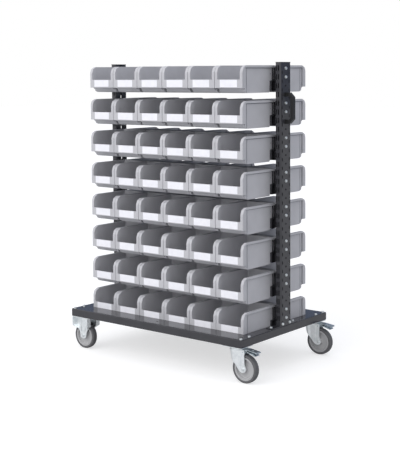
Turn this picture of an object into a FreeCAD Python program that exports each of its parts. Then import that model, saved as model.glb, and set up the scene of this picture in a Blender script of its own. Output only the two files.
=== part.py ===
import FreeCAD, Part
import math
import os
import re
import Sketcher
from FreeCAD import Rotation, Vector

# Mobile bin cart, in millimetres. X runs along the cart with the swivel casters and the handle at +X, Y from
# the front (-Y) to the back, Z up from the floor. The origin lies on the floor, under the middle of the cart's
# bounding box.

ROWS = 8
HOLES_PER_ROW = 4
BINS_PER_ROW = 6
LIFT_OFF_ROW = 1
LOWER_BACK_ROWS = 4

# Pressed outlines of the fork legs about the axle: how far ahead of it and how far above it each corner lies.
SWIVEL_BOSS = [(-24, -6.5), (-12, -14.5), (0, -15.5), (10, -10.5), (15, 3.5), (6, 21.5)]
FIXED_BOSS = [(24, 25.5), (17, -6.5), (8, -13.5)]

SIZES = {
    # bins and label cards
    "bin_width": 148,
    "bin_gap": 4,
    "bin_height": 120,
    "bin_rim": 10,
    "bin_recess": 6,
    "bin_wall": 2.5,
    "bin_lower_depth": 211,
    "bin_upper_depth": 228,
    "bin_depth": 242,
    "bin_step_height": 53,
    "bin_hook_height": 57,
    "bin_slot_end": 232.5,
    "bin_slot_top": 112,
    "panel_bottom": 22,
    "panel_top": 59,
    "panel_step": 8,
    "toe_run": 30,
    "cheek_width": 12.5,
    "cheek_depth": 28,
    "cheek_height": 90,
    "shoulder_depth": 8,
    "shoulder_height": 110,
    "card_width": 100,
    "card_height": 33,
    "card_thickness": 0.6,
    "card_foot": 25.5,
    # posts
    "hole_pitch": 38.4,
    "post_web": 80,
    "post_depth": 29.5,
    "post_sheet": 3,
    "post_hole": 8.6,
    "post_above_bins": 12,
    "slot_width": 6,
    "slot_length": 16,
    "slot_column": 27,
    "bolt_hole_height": 26.2,
    "cap_thickness": 2,
    # rails and their brackets
    "rail_sheet": 2,
    "rail_height": 46,
    "rail_depth": 32,
    "rail_end_gap": 53.5,
    "rail_play": 0.5,
    "seat_gap": 0.3,
    "lip_height": 57,
    "bracket_sheet": 3,
    "bracket_half_width": 34,
    "bracket_foot": 12,
    "bracket_head": 74,
    "tongue_reach": 110,
    # base
    "end_margin": 55.5,
    "base_height": 36,
    "base_sheet": 2.5,
    "side_flange": 88,
    "end_flange": 52,
    "base_return": 22,
    "base_bin_gap": 2.5,
    "lowest_row_above_base": 11,
    "foot_plate_length": 200,
    "foot_plate_width": 40,
    "foot_plate_sheet": 3,
    "foot_plate_margin": 2,
    "foot_bolt_half_span": 85,
    "foot_bolt_inset": 22,
    "foot_upstand": 18,
    "foot_web_bolt_height": 12,
    # handle
    "handle_height": 1169,
    "handle_length": 138,
    "handle_reach": 50,
    "handle_leg": 28,
    "handle_foot": 21,
    "handle_bar": 11.5,
    "handle_width": 18,
    # fasteners
    "bolt_flats": 13,
    "bolt_head": 5.3,
    # casters
    "caster_height": 158,
    "plate_length": 105,
    "plate_width": 85,
    "plate_sheet": 3,
    "bolt_pattern_length": 80,
    "bolt_pattern_width": 60,
    "wheel_radius": 62.5,
    "tread_width": 28,
    "tyre_inner_radius": 51,
    "tyre_shoulder": 4,
    "rim_band": 4,
    "rim_band_width": 25,
    "rim_web": 7,
    "hub_radius": 14,
    "axle_radius": 4,
    "running_fit": 0.05,
    "fork_half_gap": 17,
    "fork_sheet": 3,
    "fork_clear_below": 200,
    "trail": 44,
    "swivel_leg_back": 28,
    "swivel_leg_front": 50,
    "swivel_leg_rake_start": 119,
    "leg_corner": 3,
    "fixed_leg_half": 50,
    "fixed_leg_shoulder": 112,
    "fixed_flange_foot": 95,
    "crown_height": 146,
    "crown_radius": 33,
    "race_radius": 30,
    "race_inner_radius": 20,
    "race_gap": 0.3,
    "pin_radius": 6,
    "pin_head_radius": 11,
    "pin_head": 5,
    "pedal_pivot_x": 42,
    "pedal_pivot_z": 137,
    "pedal_pin_radius": 3,
    "pedal_side_gap": 1,
    "pedal_reach": 114,
    "pedal_tip_height": 139,
    "pedal_nose": 4.5,
    "pedal_bend": 58,
    "pedal_over_crown": 4.5,
    "pedal_lever": 3.5,
    "pedal_sheet": 3,
    "release_reach": 107,
    "release_height": 127,
    "release_nose": 4,
    "shoe_back": 38,
    "shoe_front": 50,
    "shoe_height": 127,
    "shoe_rise": 12,
    "back_heading": 4,
}

PLACES = {
    # bins
    "bin_pitch": "bin_width + bin_gap",
    "bin_body": "bin_width - 2 * bin_recess",
    "bin_inside": "bin_body - 2 * bin_wall",
    "bin_opening": "bin_width - 2 * cheek_width",
    "toe_slope": "panel_bottom / toe_run",
    "toe_rise": "bin_wall * sqrt(1 + toe_slope * toe_slope)",
    "toe_floor_end": "panel_step + (panel_bottom + toe_rise - bin_wall) / toe_slope",
    "toe_floor_cheek": "panel_bottom + toe_rise - (cheek_depth - panel_step) * toe_slope",
    "toe_floor_start": "panel_step + (toe_rise - bin_wall) / toe_slope",
    "toe_floor_front": "panel_bottom + toe_rise + (panel_step - bin_wall) * toe_slope",
    "card_centre": "card_foot + card_height / 2",
    # heights
    "base_top": "caster_height + base_height",
    "row_pitch": f"hole_pitch * {HOLES_PER_ROW}",
    "lowest_row": "base_top + lowest_row_above_base",
    "highest_row": f"lowest_row + {ROWS - 1} * row_pitch",
    "bin_top_above_row": "bin_height - card_centre",
    "post_foot": "base_top + foot_plate_sheet",
    "cap_foot": "highest_row + bin_top_above_row + post_above_bins",
    "post_length": "cap_foot - post_foot",
    # across the cart
    "label_plane": "bin_depth + (rail_depth + bracket_sheet / 2 - (bin_depth - bin_lower_depth - rail_play))",
    "base_half_depth": "label_plane + base_bin_gap + side_flange",
    "end_gap_half": "label_plane + base_bin_gap",
    "rail_face": "label_plane - bin_lower_depth - rail_play",
    "lip_face": "label_plane - (bin_upper_depth + bin_slot_end) / 2 + rail_sheet / 2",
    # along the cart
    "pedal_half_width": "fork_half_gap - pedal_side_gap",
    "base_length": f"{BINS_PER_ROW} * bin_pitch + 2 * end_margin",
    "overhang_right": "pedal_reach * cos(back_heading) + pedal_half_width * sin(back_heading)"
                      " - plate_length / 2",
    "overhang_left": "wheel_radius - plate_length / 2",
    "base_centre": "(overhang_left - overhang_right) / 2",
    "right_end": "base_centre + base_length / 2",
    "left_end": "base_centre - base_length / 2",
    "rail_length": "base_length - 2 * rail_end_gap",
    "swivel_axis": "right_end - plate_length / 2",
    "fixed_axis": "left_end + plate_length / 2",
    "caster_line": "base_half_depth - plate_width / 2",
    # rails, from the label height of their row
    "rail_top": "bin_step_height - card_centre - seat_gap",
    "rail_foot": "rail_top - rail_height",
    "lip_top": "rail_top + lip_height",
    # casters
    "plate_foot": "caster_height - plate_sheet",
    "fork_half_width": "fork_half_gap + fork_sheet",
    "crown_foot": "crown_height - fork_sheet",
    "race_split": "(crown_height + plate_foot) / 2",
    "fork_side_clear": "3 * fork_half_width",
    "fixed_edge_run": f"fixed_leg_half - {FIXED_BOSS[0][0]}",
    "fixed_edge_rise": f"fixed_leg_shoulder - wheel_radius - {FIXED_BOSS[0][1]}",
    "pedal_back": "crown_radius + 2",
    "pedal_top": "crown_height + pedal_over_crown",
    "pedal_underside": "pedal_top - pedal_lever",
    "shoe_top": "shoe_height + shoe_rise",
    "pin_head_top": "crown_foot - race_gap",
    "bore": "axle_radius + running_fit",
    "hub_half_width": "fork_half_gap - race_gap",
    "rim_radius": "tyre_inner_radius - rim_band",
}

document = FreeCAD.newDocument("bin_cart")
sheet = document.addObject("Spreadsheet::Sheet", "Sizes")
for line, (alias, value) in enumerate(SIZES.items(), 1):
    sheet.set(f"A{line}", alias)
    sheet.set(f"B{line}", str(value))
    sheet.setAlias(f"B{line}", alias)
document.recompute()
places = document.addObject("App::VarSet", "Places")


def bound(text):
    """Point the plain names of sizes and places in an expression at the objects that hold them."""
    def owner(word):
        name = word.group()
        if name in SIZES:
            return "Sizes." + name
        return "Places." + name if name in PLACES else name
    return re.sub(r"[a-z][a-z_]*", owner, str(text))


for place, rule in PLACES.items():
    places.addProperty("App::PropertyFloat", place)
    places.setExpression(place, bound(rule))
document.recompute()

nodes = []


def new_body(name):
    return document.addObject("PartDesign::Body", name)


def sketch_on(body, name, plane, lift=0):
    """Empty sketch on one of the body's own planes, moved along that plane's normal."""
    sketch = body.newObject("Sketcher::SketchObject", name)
    support = next(part for part in body.Origin.OriginFeatures if part.Role == plane)
    sketch.AttachmentSupport = (support, [""])
    sketch.MapMode = "FlatFace"
    sketch.setExpression(".AttachmentOffset.Base.z", bound(lift))
    return sketch


def draw(sketch, corners):
    """Closed outline of straight edges in a sketch, each corner pinned by a pair of expressions."""
    first = sketch.GeometryCount
    first_rule = sketch.ConstraintCount
    count = len(corners)
    start = [Vector(math.cos(math.tau * k / count), math.sin(math.tau * k / count)) * 20 for k in range(count)]
    edges = [Part.LineSegment(start[k], start[(k + 1) % count]) for k in range(count)]
    sketch.addGeometry(edges, False)
    rules = []
    for k in range(count):
        rules.append(Sketcher.Constraint("Coincident", first + k, 2, first + (k + 1) % count, 1))
    for k in range(count):
        rules.append(Sketcher.Constraint("DistanceX", first + k, 1, start[k].x))
        rules.append(Sketcher.Constraint("DistanceY", first + k, 1, start[k].y))
    sketch.addConstraint(rules)
    for k, (across, up) in enumerate(corners):
        sketch.setExpression(f"Constraints[{first_rule + count + 2 * k}]", bound(across))
        sketch.setExpression(f"Constraints[{first_rule + count + 2 * k + 1}]", bound(up))
    return sketch


def ring(sketch, radius, across=0, up=0):
    """Circle in a sketch, its centre and radius bound to expressions."""
    edge = sketch.addGeometry(Part.Circle(Vector(1, 1, 0), Vector(0, 0, 1), 5), False)
    rule = sketch.ConstraintCount
    sketch.addConstraint([
        Sketcher.Constraint("Radius", edge, 5),
        Sketcher.Constraint("DistanceX", edge, 3, 1),
        Sketcher.Constraint("DistanceY", edge, 3, 1),
    ])
    for step, value in enumerate((radius, across, up)):
        sketch.setExpression(f"Constraints[{rule + step}]", bound(value))
    return sketch


def box_outline(sketch, left, right, low, high):
    return draw(sketch, [(left, low), (right, low), (right, high), (left, high)])


def extrude(body, kind, sketch, length, middle=False, reverse=False):
    """Pad or pocket of a sketch over a bound length."""
    feature = body.newObject("PartDesign::" + kind, kind)
    feature.Profile = sketch
    feature.setExpression("Length", bound(length))
    feature.Midplane = middle
    feature.Reversed = reverse
    return feature


def revolve(body, sketch, axis):
    """Full turn of a sketch about its own horizontal (H_Axis) or vertical (V_Axis) axis."""
    feature = body.newObject("PartDesign::Revolution", "Revolution")
    feature.Profile = sketch
    feature.ReferenceAxis = (sketch, [axis])
    feature.Angle = 360
    return feature


def repeat(body, feature, direction, pitch, count):
    """Linear pattern of one feature along an axis of the body's origin."""
    pattern = body.newObject("PartDesign::LinearPattern", "LinearPattern")
    pattern.Originals = [feature]
    axis = next(part for part in body.Origin.OriginFeatures if part.Role == direction)
    pattern.Direction = (axis, [""])
    pattern.setExpression("Length", bound(f"({pitch}) * {count - 1}"))
    pattern.Occurrences = count
    body.Tip = pattern
    return pattern


def group(label, copies):
    """One node: copies of master pieces, each at a bound place and turned about one axis."""
    links = []
    for master, spot, *turn in copies:
        link = document.addObject("App::Link", label + "_copy")
        link.LinkedObject = master
        if turn:
            link.Placement.Rotation = Rotation(*turn)
        for letter, value in zip("xyz", spot):
            link.setExpression(f".Placement.Base.{letter}", bound(value))
        links.append(link)
    node = document.addObject("Part::Compound", label)
    node.Links = links
    nodes.append(node)
    return node


UP = Vector(0, 0, 1)
HALF_TURN = (UP, 180)
FACE_RIGHT = (Vector(0, 1, 0), 90)
FACE_LEFT = (Vector(0, 1, 0), -90)


def row_height(row):
    """Height of the label centres of a row, row 1 being the highest."""
    return f"(lowest_row + {ROWS - row} * row_pitch)"


# Base: folded channels, open inwards, the side members' flanges wider than the end members'.

def channel_outline(sketch, flange):
    return draw(sketch, [
        (0, 0),
        ("base_return", 0),
        ("base_return", "base_sheet"),
        ("base_sheet", "base_sheet"),
        ("base_sheet", "base_height - base_sheet"),
        (flange, "base_height - base_sheet"),
        (flange, "base_height"),
        (0, "base_height"),
    ])


def side_member():
    body = new_body("side_member")
    profile = channel_outline(sketch_on(body, "side_profile", "YZ_Plane"), "side_flange")
    extrude(body, "Pad", profile, "base_length - 2 * base_sheet", middle=True)
    return body


def end_member():
    """Its face closes the ends of the side members, and its flanges fit between theirs."""
    body = new_body("end_member")
    face = sketch_on(body, "end_face", "YZ_Plane")
    box_outline(face, "-base_half_depth", "base_half_depth", 0, "base_height")
    extrude(body, "Pad", face, "base_sheet", reverse=True)
    flange = sketch_on(body, "end_flange", "XZ_Plane")
    box_outline(flange, "-end_flange", 0, "base_height - base_sheet", "base_height")
    extrude(body, "Pad", flange, "2 * end_gap_half", middle=True)
    lower = sketch_on(body, "end_return", "XZ_Plane")
    box_outline(lower, "-base_return", 0, 0, "base_sheet")
    extrude(body, "Pad", lower, "2 * (base_half_depth - base_return)", middle=True)
    return body


def foot_bracket():
    """Plate on the end member, folded up inside the post; X = 0 is the base's end face."""
    body = new_body("foot_bracket")
    plate = sketch_on(body, "foot_plate", "XY_Plane")
    box_outline(plate, "-foot_plate_margin - foot_plate_width", "-foot_plate_margin",
                "-foot_plate_length / 2", "foot_plate_length / 2")
    extrude(body, "Pad", plate, "foot_plate_sheet")
    upstand = sketch_on(body, "foot_upstand", "YZ_Plane", "-post_sheet")
    box_outline(upstand, "-bracket_half_width", "bracket_half_width", 0, "foot_upstand")
    extrude(body, "Pad", upstand, "foot_plate_sheet", reverse=True)
    return body


# Posts: C-section, X = 0 is the outer face of the web, open towards -X.

def post():
    body = new_body("post")
    section = sketch_on(body, "post_section", "XY_Plane")
    draw(section, [
        (0, "-post_web / 2"),
        (0, "post_web / 2"),
        ("-post_depth", "post_web / 2"),
        ("-post_depth", "post_web / 2 - post_sheet"),
        ("-post_sheet", "post_web / 2 - post_sheet"),
        ("-post_sheet", "post_sheet - post_web / 2"),
        ("-post_depth", "post_sheet - post_web / 2"),
        ("-post_depth", "-post_web / 2"),
    ])
    extrude(body, "Pad", section, "post_length")
    hole_above_foot = "lowest_row - post_foot + bolt_hole_height - hole_pitch"
    spare = sketch_on(body, "spare_holes", "YZ_Plane", "-post_sheet / 2")
    ring(spare, "post_hole / 2", 0, f"{hole_above_foot} + 3 * hole_pitch")
    ring(spare, "post_hole / 2", 0, f"{hole_above_foot} + 4 * hole_pitch")
    holes = extrude(body, "Pocket", spare, "post_sheet", middle=True)
    repeat(body, holes, "Z_Axis", "row_pitch", ROWS - 1)
    slots = sketch_on(body, "web_slots", "YZ_Plane", "-post_sheet / 2")
    for side in (-1, 1):
        box_outline(slots, f"{side} * slot_column - slot_width / 2", f"{side} * slot_column + slot_width / 2",
                    f"{hole_above_foot} + hole_pitch / 2 - slot_length / 2",
                    f"{hole_above_foot} + hole_pitch / 2 + slot_length / 2")
    pair = extrude(body, "Pocket", slots, "post_sheet", middle=True)
    repeat(body, pair, "Z_Axis", "hole_pitch", ROWS * HOLES_PER_ROW - 2)
    return body


def post_cap():
    body = new_body("post_cap")
    outline = sketch_on(body, "cap_outline", "XY_Plane")
    box_outline(outline, "-post_depth", 0, "-post_web / 2", "post_web / 2")
    extrude(body, "Pad", outline, "cap_thickness")
    return body


# Rails and brackets: Z = 0 is the label height of the row, Y = 0 the middle plane of the cart.

def rail():
    """Box rail with an upright lip for the bins' hooks, as it lies on the front side."""
    body = new_body("rail")
    section = sketch_on(body, "rail_section", "YZ_Plane")
    draw(section, [
        ("-rail_face", "rail_foot"),
        ("rail_depth - rail_face", "rail_foot"),
        ("rail_depth - rail_face", "rail_top"),
        ("-lip_face + rail_sheet", "rail_top"),
        ("-lip_face + rail_sheet", "lip_top"),
        ("-lip_face", "lip_top"),
        ("-lip_face", "rail_top"),
        ("-rail_face", "rail_top"),
    ])
    extrude(body, "Pad", section, "rail_length", middle=True)
    hollow = sketch_on(body, "rail_hollow", "YZ_Plane")
    box_outline(hollow, "rail_sheet - rail_face", "rail_depth - rail_face - rail_sheet",
                "rail_foot + rail_sheet", "rail_top - rail_sheet")
    extrude(body, "Pocket", hollow, "rail_length", middle=True)
    return body


def rail_bracket():
    """End plate inside the post with a tongue between the two rails; X = 0 is the web's outer face."""
    body = new_body("rail_bracket")
    plate = sketch_on(body, "bracket_plate", "YZ_Plane", "-post_sheet")
    box_outline(plate, "-bracket_half_width", "bracket_half_width", "bracket_foot", "bracket_head")
    extrude(body, "Pad", plate, "bracket_sheet", reverse=True)
    tongue = sketch_on(body, "bracket_tongue", "XZ_Plane")
    draw(tongue, [
        ("-post_sheet - bracket_sheet", "bracket_foot"),
        ("-post_sheet - bracket_sheet", "bracket_head"),
        ("-tongue_reach", "bracket_head"),
        ("-tongue_reach", "rail_foot"),
        ("-rail_end_gap", "rail_foot"),
        ("-rail_end_gap", "bracket_foot"),
    ])
    extrude(body, "Pad", tongue, "bracket_sheet", middle=True)
    return body


# Bins: Y = 0 is the label panel's face, Y grows towards the rail, Z = 0 is the bin's underside.

def storage_bin():
    """Open-front bin with a hook for the rail's lip and side walls set back below the rim."""
    body = new_body("storage_bin")
    side = sketch_on(body, "bin_side", "YZ_Plane")
    draw(side, [
        (0, "panel_bottom"),
        ("panel_step", "panel_bottom"),
        ("panel_step + toe_run", 0),
        ("bin_lower_depth", 0),
        ("bin_lower_depth", "bin_step_height"),
        ("bin_upper_depth", "bin_step_height"),
        ("bin_upper_depth", "bin_slot_top"),
        ("bin_slot_end", "bin_slot_top"),
        ("bin_slot_end", "bin_hook_height"),
        ("bin_depth", "bin_hook_height"),
        ("bin_depth", "bin_height"),
        ("cheek_depth", "bin_height"),
        ("shoulder_depth", "shoulder_height"),
        (0, "cheek_height"),
    ])
    extrude(body, "Pad", side, "bin_width", middle=True)
    recess = sketch_on(body, "side_recess", "XZ_Plane", "-cheek_depth")
    for edge in (-1, 1):
        box_outline(recess, f"{edge} * bin_body / 2", f"{edge} * bin_width", -1, "bin_height - bin_rim")
    extrude(body, "Pocket", recess, "bin_depth")
    cavity = sketch_on(body, "bin_cavity", "YZ_Plane")
    draw(cavity, [
        ("cheek_depth", "toe_floor_cheek"),
        ("toe_floor_end", "bin_wall"),
        ("bin_lower_depth - bin_wall", "bin_wall"),
        ("bin_lower_depth - bin_wall", "bin_step_height + bin_wall"),
        ("bin_upper_depth - bin_wall", "bin_step_height + bin_wall"),
        ("bin_upper_depth - bin_wall", "bin_height"),
        ("cheek_depth", "bin_height"),
    ])
    extrude(body, "Pocket", cavity, "bin_inside", middle=True)
    mouth = sketch_on(body, "bin_mouth", "YZ_Plane")
    draw(mouth, [
        ("bin_wall", "panel_bottom + bin_wall"),
        ("toe_floor_start", "panel_bottom + bin_wall"),
        ("cheek_depth", "toe_floor_cheek"),
        ("cheek_depth", "bin_height"),
        (-1, "bin_height"),
        (-1, "panel_top"),
        ("bin_wall", "panel_top"),
    ])
    extrude(body, "Pocket", mouth, "bin_opening", middle=True)
    return body


def plain_bin():
    """The same bin with fewer faces for the rows that stay in place: no hook, and straight sides."""
    body = new_body("plain_bin")
    side = sketch_on(body, "plain_side", "YZ_Plane")
    draw(side, [
        (0, "panel_bottom"),
        ("panel_step", "panel_bottom"),
        ("panel_step + toe_run", 0),
        ("bin_lower_depth", 0),
        ("bin_lower_depth", "bin_step_height"),
        ("bin_upper_depth", "bin_step_height"),
        ("bin_upper_depth", "bin_height"),
        ("cheek_depth", "bin_height"),
        (0, "cheek_height"),
    ])
    extrude(body, "Pad", side, "bin_width", middle=True)
    inside = sketch_on(body, "plain_inside", "YZ_Plane")
    draw(inside, [
        ("bin_wall", "toe_floor_front"),
        ("toe_floor_end", "bin_wall"),
        ("bin_lower_depth - bin_wall", "bin_wall"),
        ("bin_lower_depth - bin_wall", "bin_step_height + bin_wall"),
        ("bin_upper_depth - bin_wall", "bin_step_height + bin_wall"),
        ("bin_upper_depth - bin_wall", "bin_height + 1"),
        (-1, "bin_height + 1"),
        (-1, "panel_top"),
        ("bin_wall", "panel_top"),
    ])
    extrude(body, "Pocket", inside, "bin_inside", middle=True)
    return body


def label_card():
    """Card on the label panel; Z = 0 is the bin's underside."""
    body = new_body("label_card")
    face = sketch_on(body, "card_face", "XZ_Plane")
    box_outline(face, "-card_width / 2", "card_width / 2", "card_foot", "card_foot + card_height")
    extrude(body, "Pad", face, "card_thickness")
    return body


# Handle: X = 0 is the web's outer face, Z = 0 the middle of the grip.

def handle():
    body = new_body("grab_handle")
    bow = sketch_on(body, "handle_bow", "XZ_Plane")
    half = "handle_length / 2"
    drop = "(handle_reach - handle_leg)"
    inner_half = f"({half} - handle_foot)"
    bend = f"({half} + handle_leg - handle_bar * sqrt(2))"
    side = [
        (0, half),
        ("handle_leg", half),
        ("handle_reach", f"{half} - {drop}"),
    ]
    inner = [
        (0, inner_half),
        (f"{bend} - {inner_half}", inner_half),
        ("handle_reach - handle_bar", f"{bend} - (handle_reach - handle_bar)"),
    ]
    lower = [(across, f"-({up})") for across, up in reversed(side)]
    lower_inner = [(across, f"-({up})") for across, up in inner]
    draw(bow, side + lower + lower_inner + inner[::-1])
    extrude(body, "Pad", bow, "handle_width", middle=True)
    return body


# Fasteners: hex heads that stand on their seat.

def hex_head():
    head = document.addObject("Part::Prism", "hex_head")
    head.Polygon = 6
    head.setExpression("Circumradius", bound("bolt_flats / sqrt(3)"))
    head.setExpression("Height", bound("bolt_head"))
    return head


# Casters: X = 0, Y = 0 is the middle of the top plate, Z = 0 the floor; the wheel's own pieces are drawn about
# the middle of the axle.

def rim():
    body = new_body("rim")
    section = sketch_on(body, "rim_section", "YZ_Plane")
    draw(section, [
        ("-hub_half_width", "bore"),
        ("hub_half_width", "bore"),
        ("hub_half_width", "hub_radius"),
        ("rim_web / 2", "hub_radius"),
        ("rim_web / 2", "rim_radius"),
        ("rim_band_width / 2", "rim_radius"),
        ("rim_band_width / 2", "tyre_inner_radius"),
        ("-rim_band_width / 2", "tyre_inner_radius"),
        ("-rim_band_width / 2", "rim_radius"),
        ("-rim_web / 2", "rim_radius"),
        ("-rim_web / 2", "hub_radius"),
        ("-hub_half_width", "hub_radius"),
    ])
    revolve(body, section, "H_Axis")
    return body


def tyre():
    body = new_body("tyre")
    section = sketch_on(body, "tyre_section", "YZ_Plane")
    draw(section, [
        ("-tread_width / 2", "tyre_inner_radius"),
        ("tread_width / 2", "tyre_inner_radius"),
        ("tread_width / 2", "wheel_radius - tyre_shoulder"),
        ("tread_width / 2 - tyre_shoulder", "wheel_radius"),
        ("tyre_shoulder - tread_width / 2", "wheel_radius"),
        ("-tread_width / 2", "wheel_radius - tyre_shoulder"),
    ])
    revolve(body, section, "H_Axis")
    return body


def axle():
    """Bolt through the fork with a hex head outside each leg."""
    body = new_body("axle")
    shank = ring(sketch_on(body, "axle_shank", "XZ_Plane"), "axle_radius")
    extrude(body, "Pad", shank, "2 * fork_half_width", middle=True)
    for side in (-1, 1):
        head = sketch_on(body, "axle_head", "XZ_Plane", f"{side} * (fork_half_width + bolt_head / 2)")
        reach = "bolt_flats / sqrt(3)"
        draw(head, [(f"{reach} * cos({60 * k})", f"{reach} * sin({60 * k})") for k in range(6)])
        extrude(body, "Pad", head, "bolt_head", middle=True)
    return body


def top_plate(body):
    plate = sketch_on(body, "top_plate", "XY_Plane", "plate_foot")
    box_outline(plate, "-plate_length / 2", "plate_length / 2", "-plate_width / 2", "plate_width / 2")
    extrude(body, "Pad", plate, "plate_sheet")


def swivel_plate():
    """Top plate with the upper race and the king pin that carries the fork."""
    body = new_body("swivel_plate")
    top_plate(body)
    section = sketch_on(body, "race_and_pin", "XZ_Plane")
    draw(section, [
        (0, "plate_foot"),
        ("race_radius", "plate_foot"),
        ("race_radius", "race_split + race_gap / 2"),
        ("pin_radius", "race_split + race_gap / 2"),
        ("pin_radius", "pin_head_top"),
        ("pin_head_radius", "pin_head_top"),
        ("pin_head_radius", "pin_head_top - pin_head"),
        (0, "pin_head_top - pin_head"),
    ])
    revolve(body, section, "V_Axis")
    return body


def axle_hole(body, across):
    hole = ring(sketch_on(body, "axle_hole", "XZ_Plane"), "axle_radius", across, "wheel_radius")
    extrude(body, "Pocket", hole, "fork_side_clear", middle=True)


def swivel_fork():
    """Pressed fork: crown with the lower race, two raked legs, a pivot hole for the pedal."""
    body = new_body("swivel_fork")
    legs = sketch_on(body, "fork_side", "XZ_Plane")
    draw(legs, [
        ("-swivel_leg_back", "crown_height"),
        ("-swivel_leg_back", "swivel_leg_rake_start"),
        *[(f"trail + {ahead}", f"wheel_radius + {above}") for ahead, above in SWIVEL_BOSS],
        ("swivel_leg_front", "crown_height - leg_corner"),
        ("swivel_leg_front - leg_corner", "crown_height"),
    ])
    extrude(body, "Pad", legs, "2 * fork_half_width", middle=True)
    crown = ring(sketch_on(body, "crown", "XY_Plane", "crown_foot"), "crown_radius")
    extrude(body, "Pad", crown, "fork_sheet")
    race = sketch_on(body, "lower_race", "XZ_Plane")
    draw(race, [
        ("race_inner_radius", "crown_foot"),
        ("race_radius", "crown_foot"),
        ("race_radius", "race_split - race_gap / 2"),
        ("race_inner_radius", "race_split - race_gap / 2"),
    ])
    revolve(body, race, "V_Axis")
    gap = sketch_on(body, "wheel_gap", "XZ_Plane")
    draw(gap, [
        ("-fork_clear_below", 0),
        ("fork_clear_below", 0),
        ("fork_clear_below", "crown_height"),
        ("crown_radius", "crown_height"),
        ("crown_radius", "crown_foot"),
        ("-fork_clear_below", "crown_foot"),
    ])
    extrude(body, "Pocket", gap, "2 * fork_half_gap", middle=True)
    pin_hole = ring(sketch_on(body, "pin_hole", "XY_Plane", "crown_height"), "pin_radius + running_fit")
    extrude(body, "Pocket", pin_hole, "2 * fork_sheet")
    axle_hole(body, "trail")
    pivot = sketch_on(body, "pedal_pivot", "XZ_Plane")
    ring(pivot, "pedal_pin_radius + running_fit", "pedal_pivot_x", "pedal_pivot_z")
    extrude(body, "Pocket", pivot, "fork_side_clear", middle=True)
    return body


def brake_pedal():
    """Pressed pedal with a release tongue below it, a shoe over the tyre, side ears and their pivot pin."""
    body = new_body("brake_pedal")
    side = sketch_on(body, "pedal_side", "XZ_Plane")
    draw(side, [
        ("pedal_back", "pedal_top"),
        ("pedal_bend", "pedal_top"),
        ("pedal_reach - pedal_nose", "pedal_tip_height + pedal_nose"),
        ("pedal_reach", "pedal_tip_height"),
        ("pedal_reach - pedal_lever", "pedal_tip_height - pedal_lever / 2"),
        ("pedal_bend", "pedal_underside"),
        ("pedal_bend", "crown_foot"),
        ("release_reach - release_nose", "release_height + release_nose"),
        ("release_reach", "release_height"),
        ("release_reach - release_nose", "release_height - release_nose / 4"),
        ("pedal_bend - release_nose", "shoe_top"),
        ("shoe_front", "shoe_height"),
        ("shoe_back", "shoe_height + release_nose"),
        ("pedal_back", "pedal_pivot_z"),
    ])
    extrude(body, "Pad", side, "2 * pedal_half_width", middle=True)
    inside = sketch_on(body, "pedal_inside", "XZ_Plane")
    draw(inside, [
        ("pedal_back - pedal_sheet", "pedal_underside"),
        ("shoe_front", "pedal_underside"),
        ("shoe_front", "shoe_top + pedal_sheet"),
        ("shoe_front - release_nose", "shoe_height - shoe_rise / 2"),
        ("pedal_back - pedal_sheet", "shoe_height - shoe_rise / 2"),
    ])
    extrude(body, "Pocket", inside, "2 * (pedal_half_width - pedal_sheet)", middle=True)
    pin = ring(sketch_on(body, "pedal_pin", "XZ_Plane"), "pedal_pin_radius", "pedal_pivot_x", "pedal_pivot_z")
    extrude(body, "Pad", pin, "2 * fork_half_width + 1", middle=True)
    return body


def fixed_fork():
    """Top plate and two legs tapered to the axle, with a flange turned out along each edge below the plate."""
    body = new_body("fixed_fork")
    legs = sketch_on(body, "fixed_side", "XZ_Plane")
    half = [("fixed_leg_half", "plate_foot"), ("fixed_leg_half", "fixed_leg_shoulder")]
    half += [(ahead, f"wheel_radius + {above}") for ahead, above in FIXED_BOSS]
    draw(legs, half + [(f"-({ahead})", above) for ahead, above in reversed(half)])
    extrude(body, "Pad", legs, "2 * fork_half_width", middle=True)
    flanges = sketch_on(body, "fixed_flanges", "XZ_Plane")
    edge_foot = "fixed_leg_half - (fixed_leg_shoulder - fixed_flange_foot) * fixed_edge_run / fixed_edge_rise"
    outer = [("fixed_leg_half", "plate_foot"), ("fixed_leg_half", "fixed_leg_shoulder"),
             (edge_foot, "fixed_flange_foot")]
    inner = [(f"{ahead} - fork_sheet", above) for ahead, above in reversed(outer)]
    for side in (1, -1):
        draw(flanges, [(f"{side} * ({ahead})", above) for ahead, above in outer + inner])
    extrude(body, "Pad", flanges, "plate_width", middle=True)
    taper = sketch_on(body, "flange_taper", "YZ_Plane")
    for side in (-1, 1):
        draw(taper, [
            (f"{side} * fork_half_width", "fixed_flange_foot"),
            (f"{side} * plate_width", "fixed_flange_foot"),
            (f"{side} * plate_width", "fixed_leg_shoulder"),
            (f"{side} * plate_width / 2", "fixed_leg_shoulder"),
        ])
    extrude(body, "Pocket", taper, "plate_length", middle=True)
    top_plate(body)
    gap = box_outline(sketch_on(body, "wheel_gap", "XZ_Plane"), "-plate_length", "plate_length", 0, "plate_foot")
    extrude(body, "Pocket", gap, "2 * fork_half_gap", middle=True)
    axle_hole(body, 0)
    return body


def ends(master, height):
    """The same end piece at the right end and, turned about, at the left end."""
    return [(master, ("right_end", 0, height)), (master, ("left_end", 0, height), *HALF_TURN)]


def base_nodes():
    side = side_member()
    group("base_side_front", [(side, ("base_centre", "-base_half_depth", "caster_height"))])
    group("base_side_back", [(side, ("base_centre", "base_half_depth", "caster_height"), *HALF_TURN)])
    right, left = ends(end_member(), "caster_height")
    group("base_end_right", [right])
    group("base_end_left", [left])
    group("foot_brackets", ends(foot_bracket(), "base_top"))


def post_nodes():
    right, left = ends(post(), "post_foot")
    group("post_right", [right])
    group("post_left", [left])
    group("post_caps", ends(post_cap(), "cap_foot"))


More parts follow.
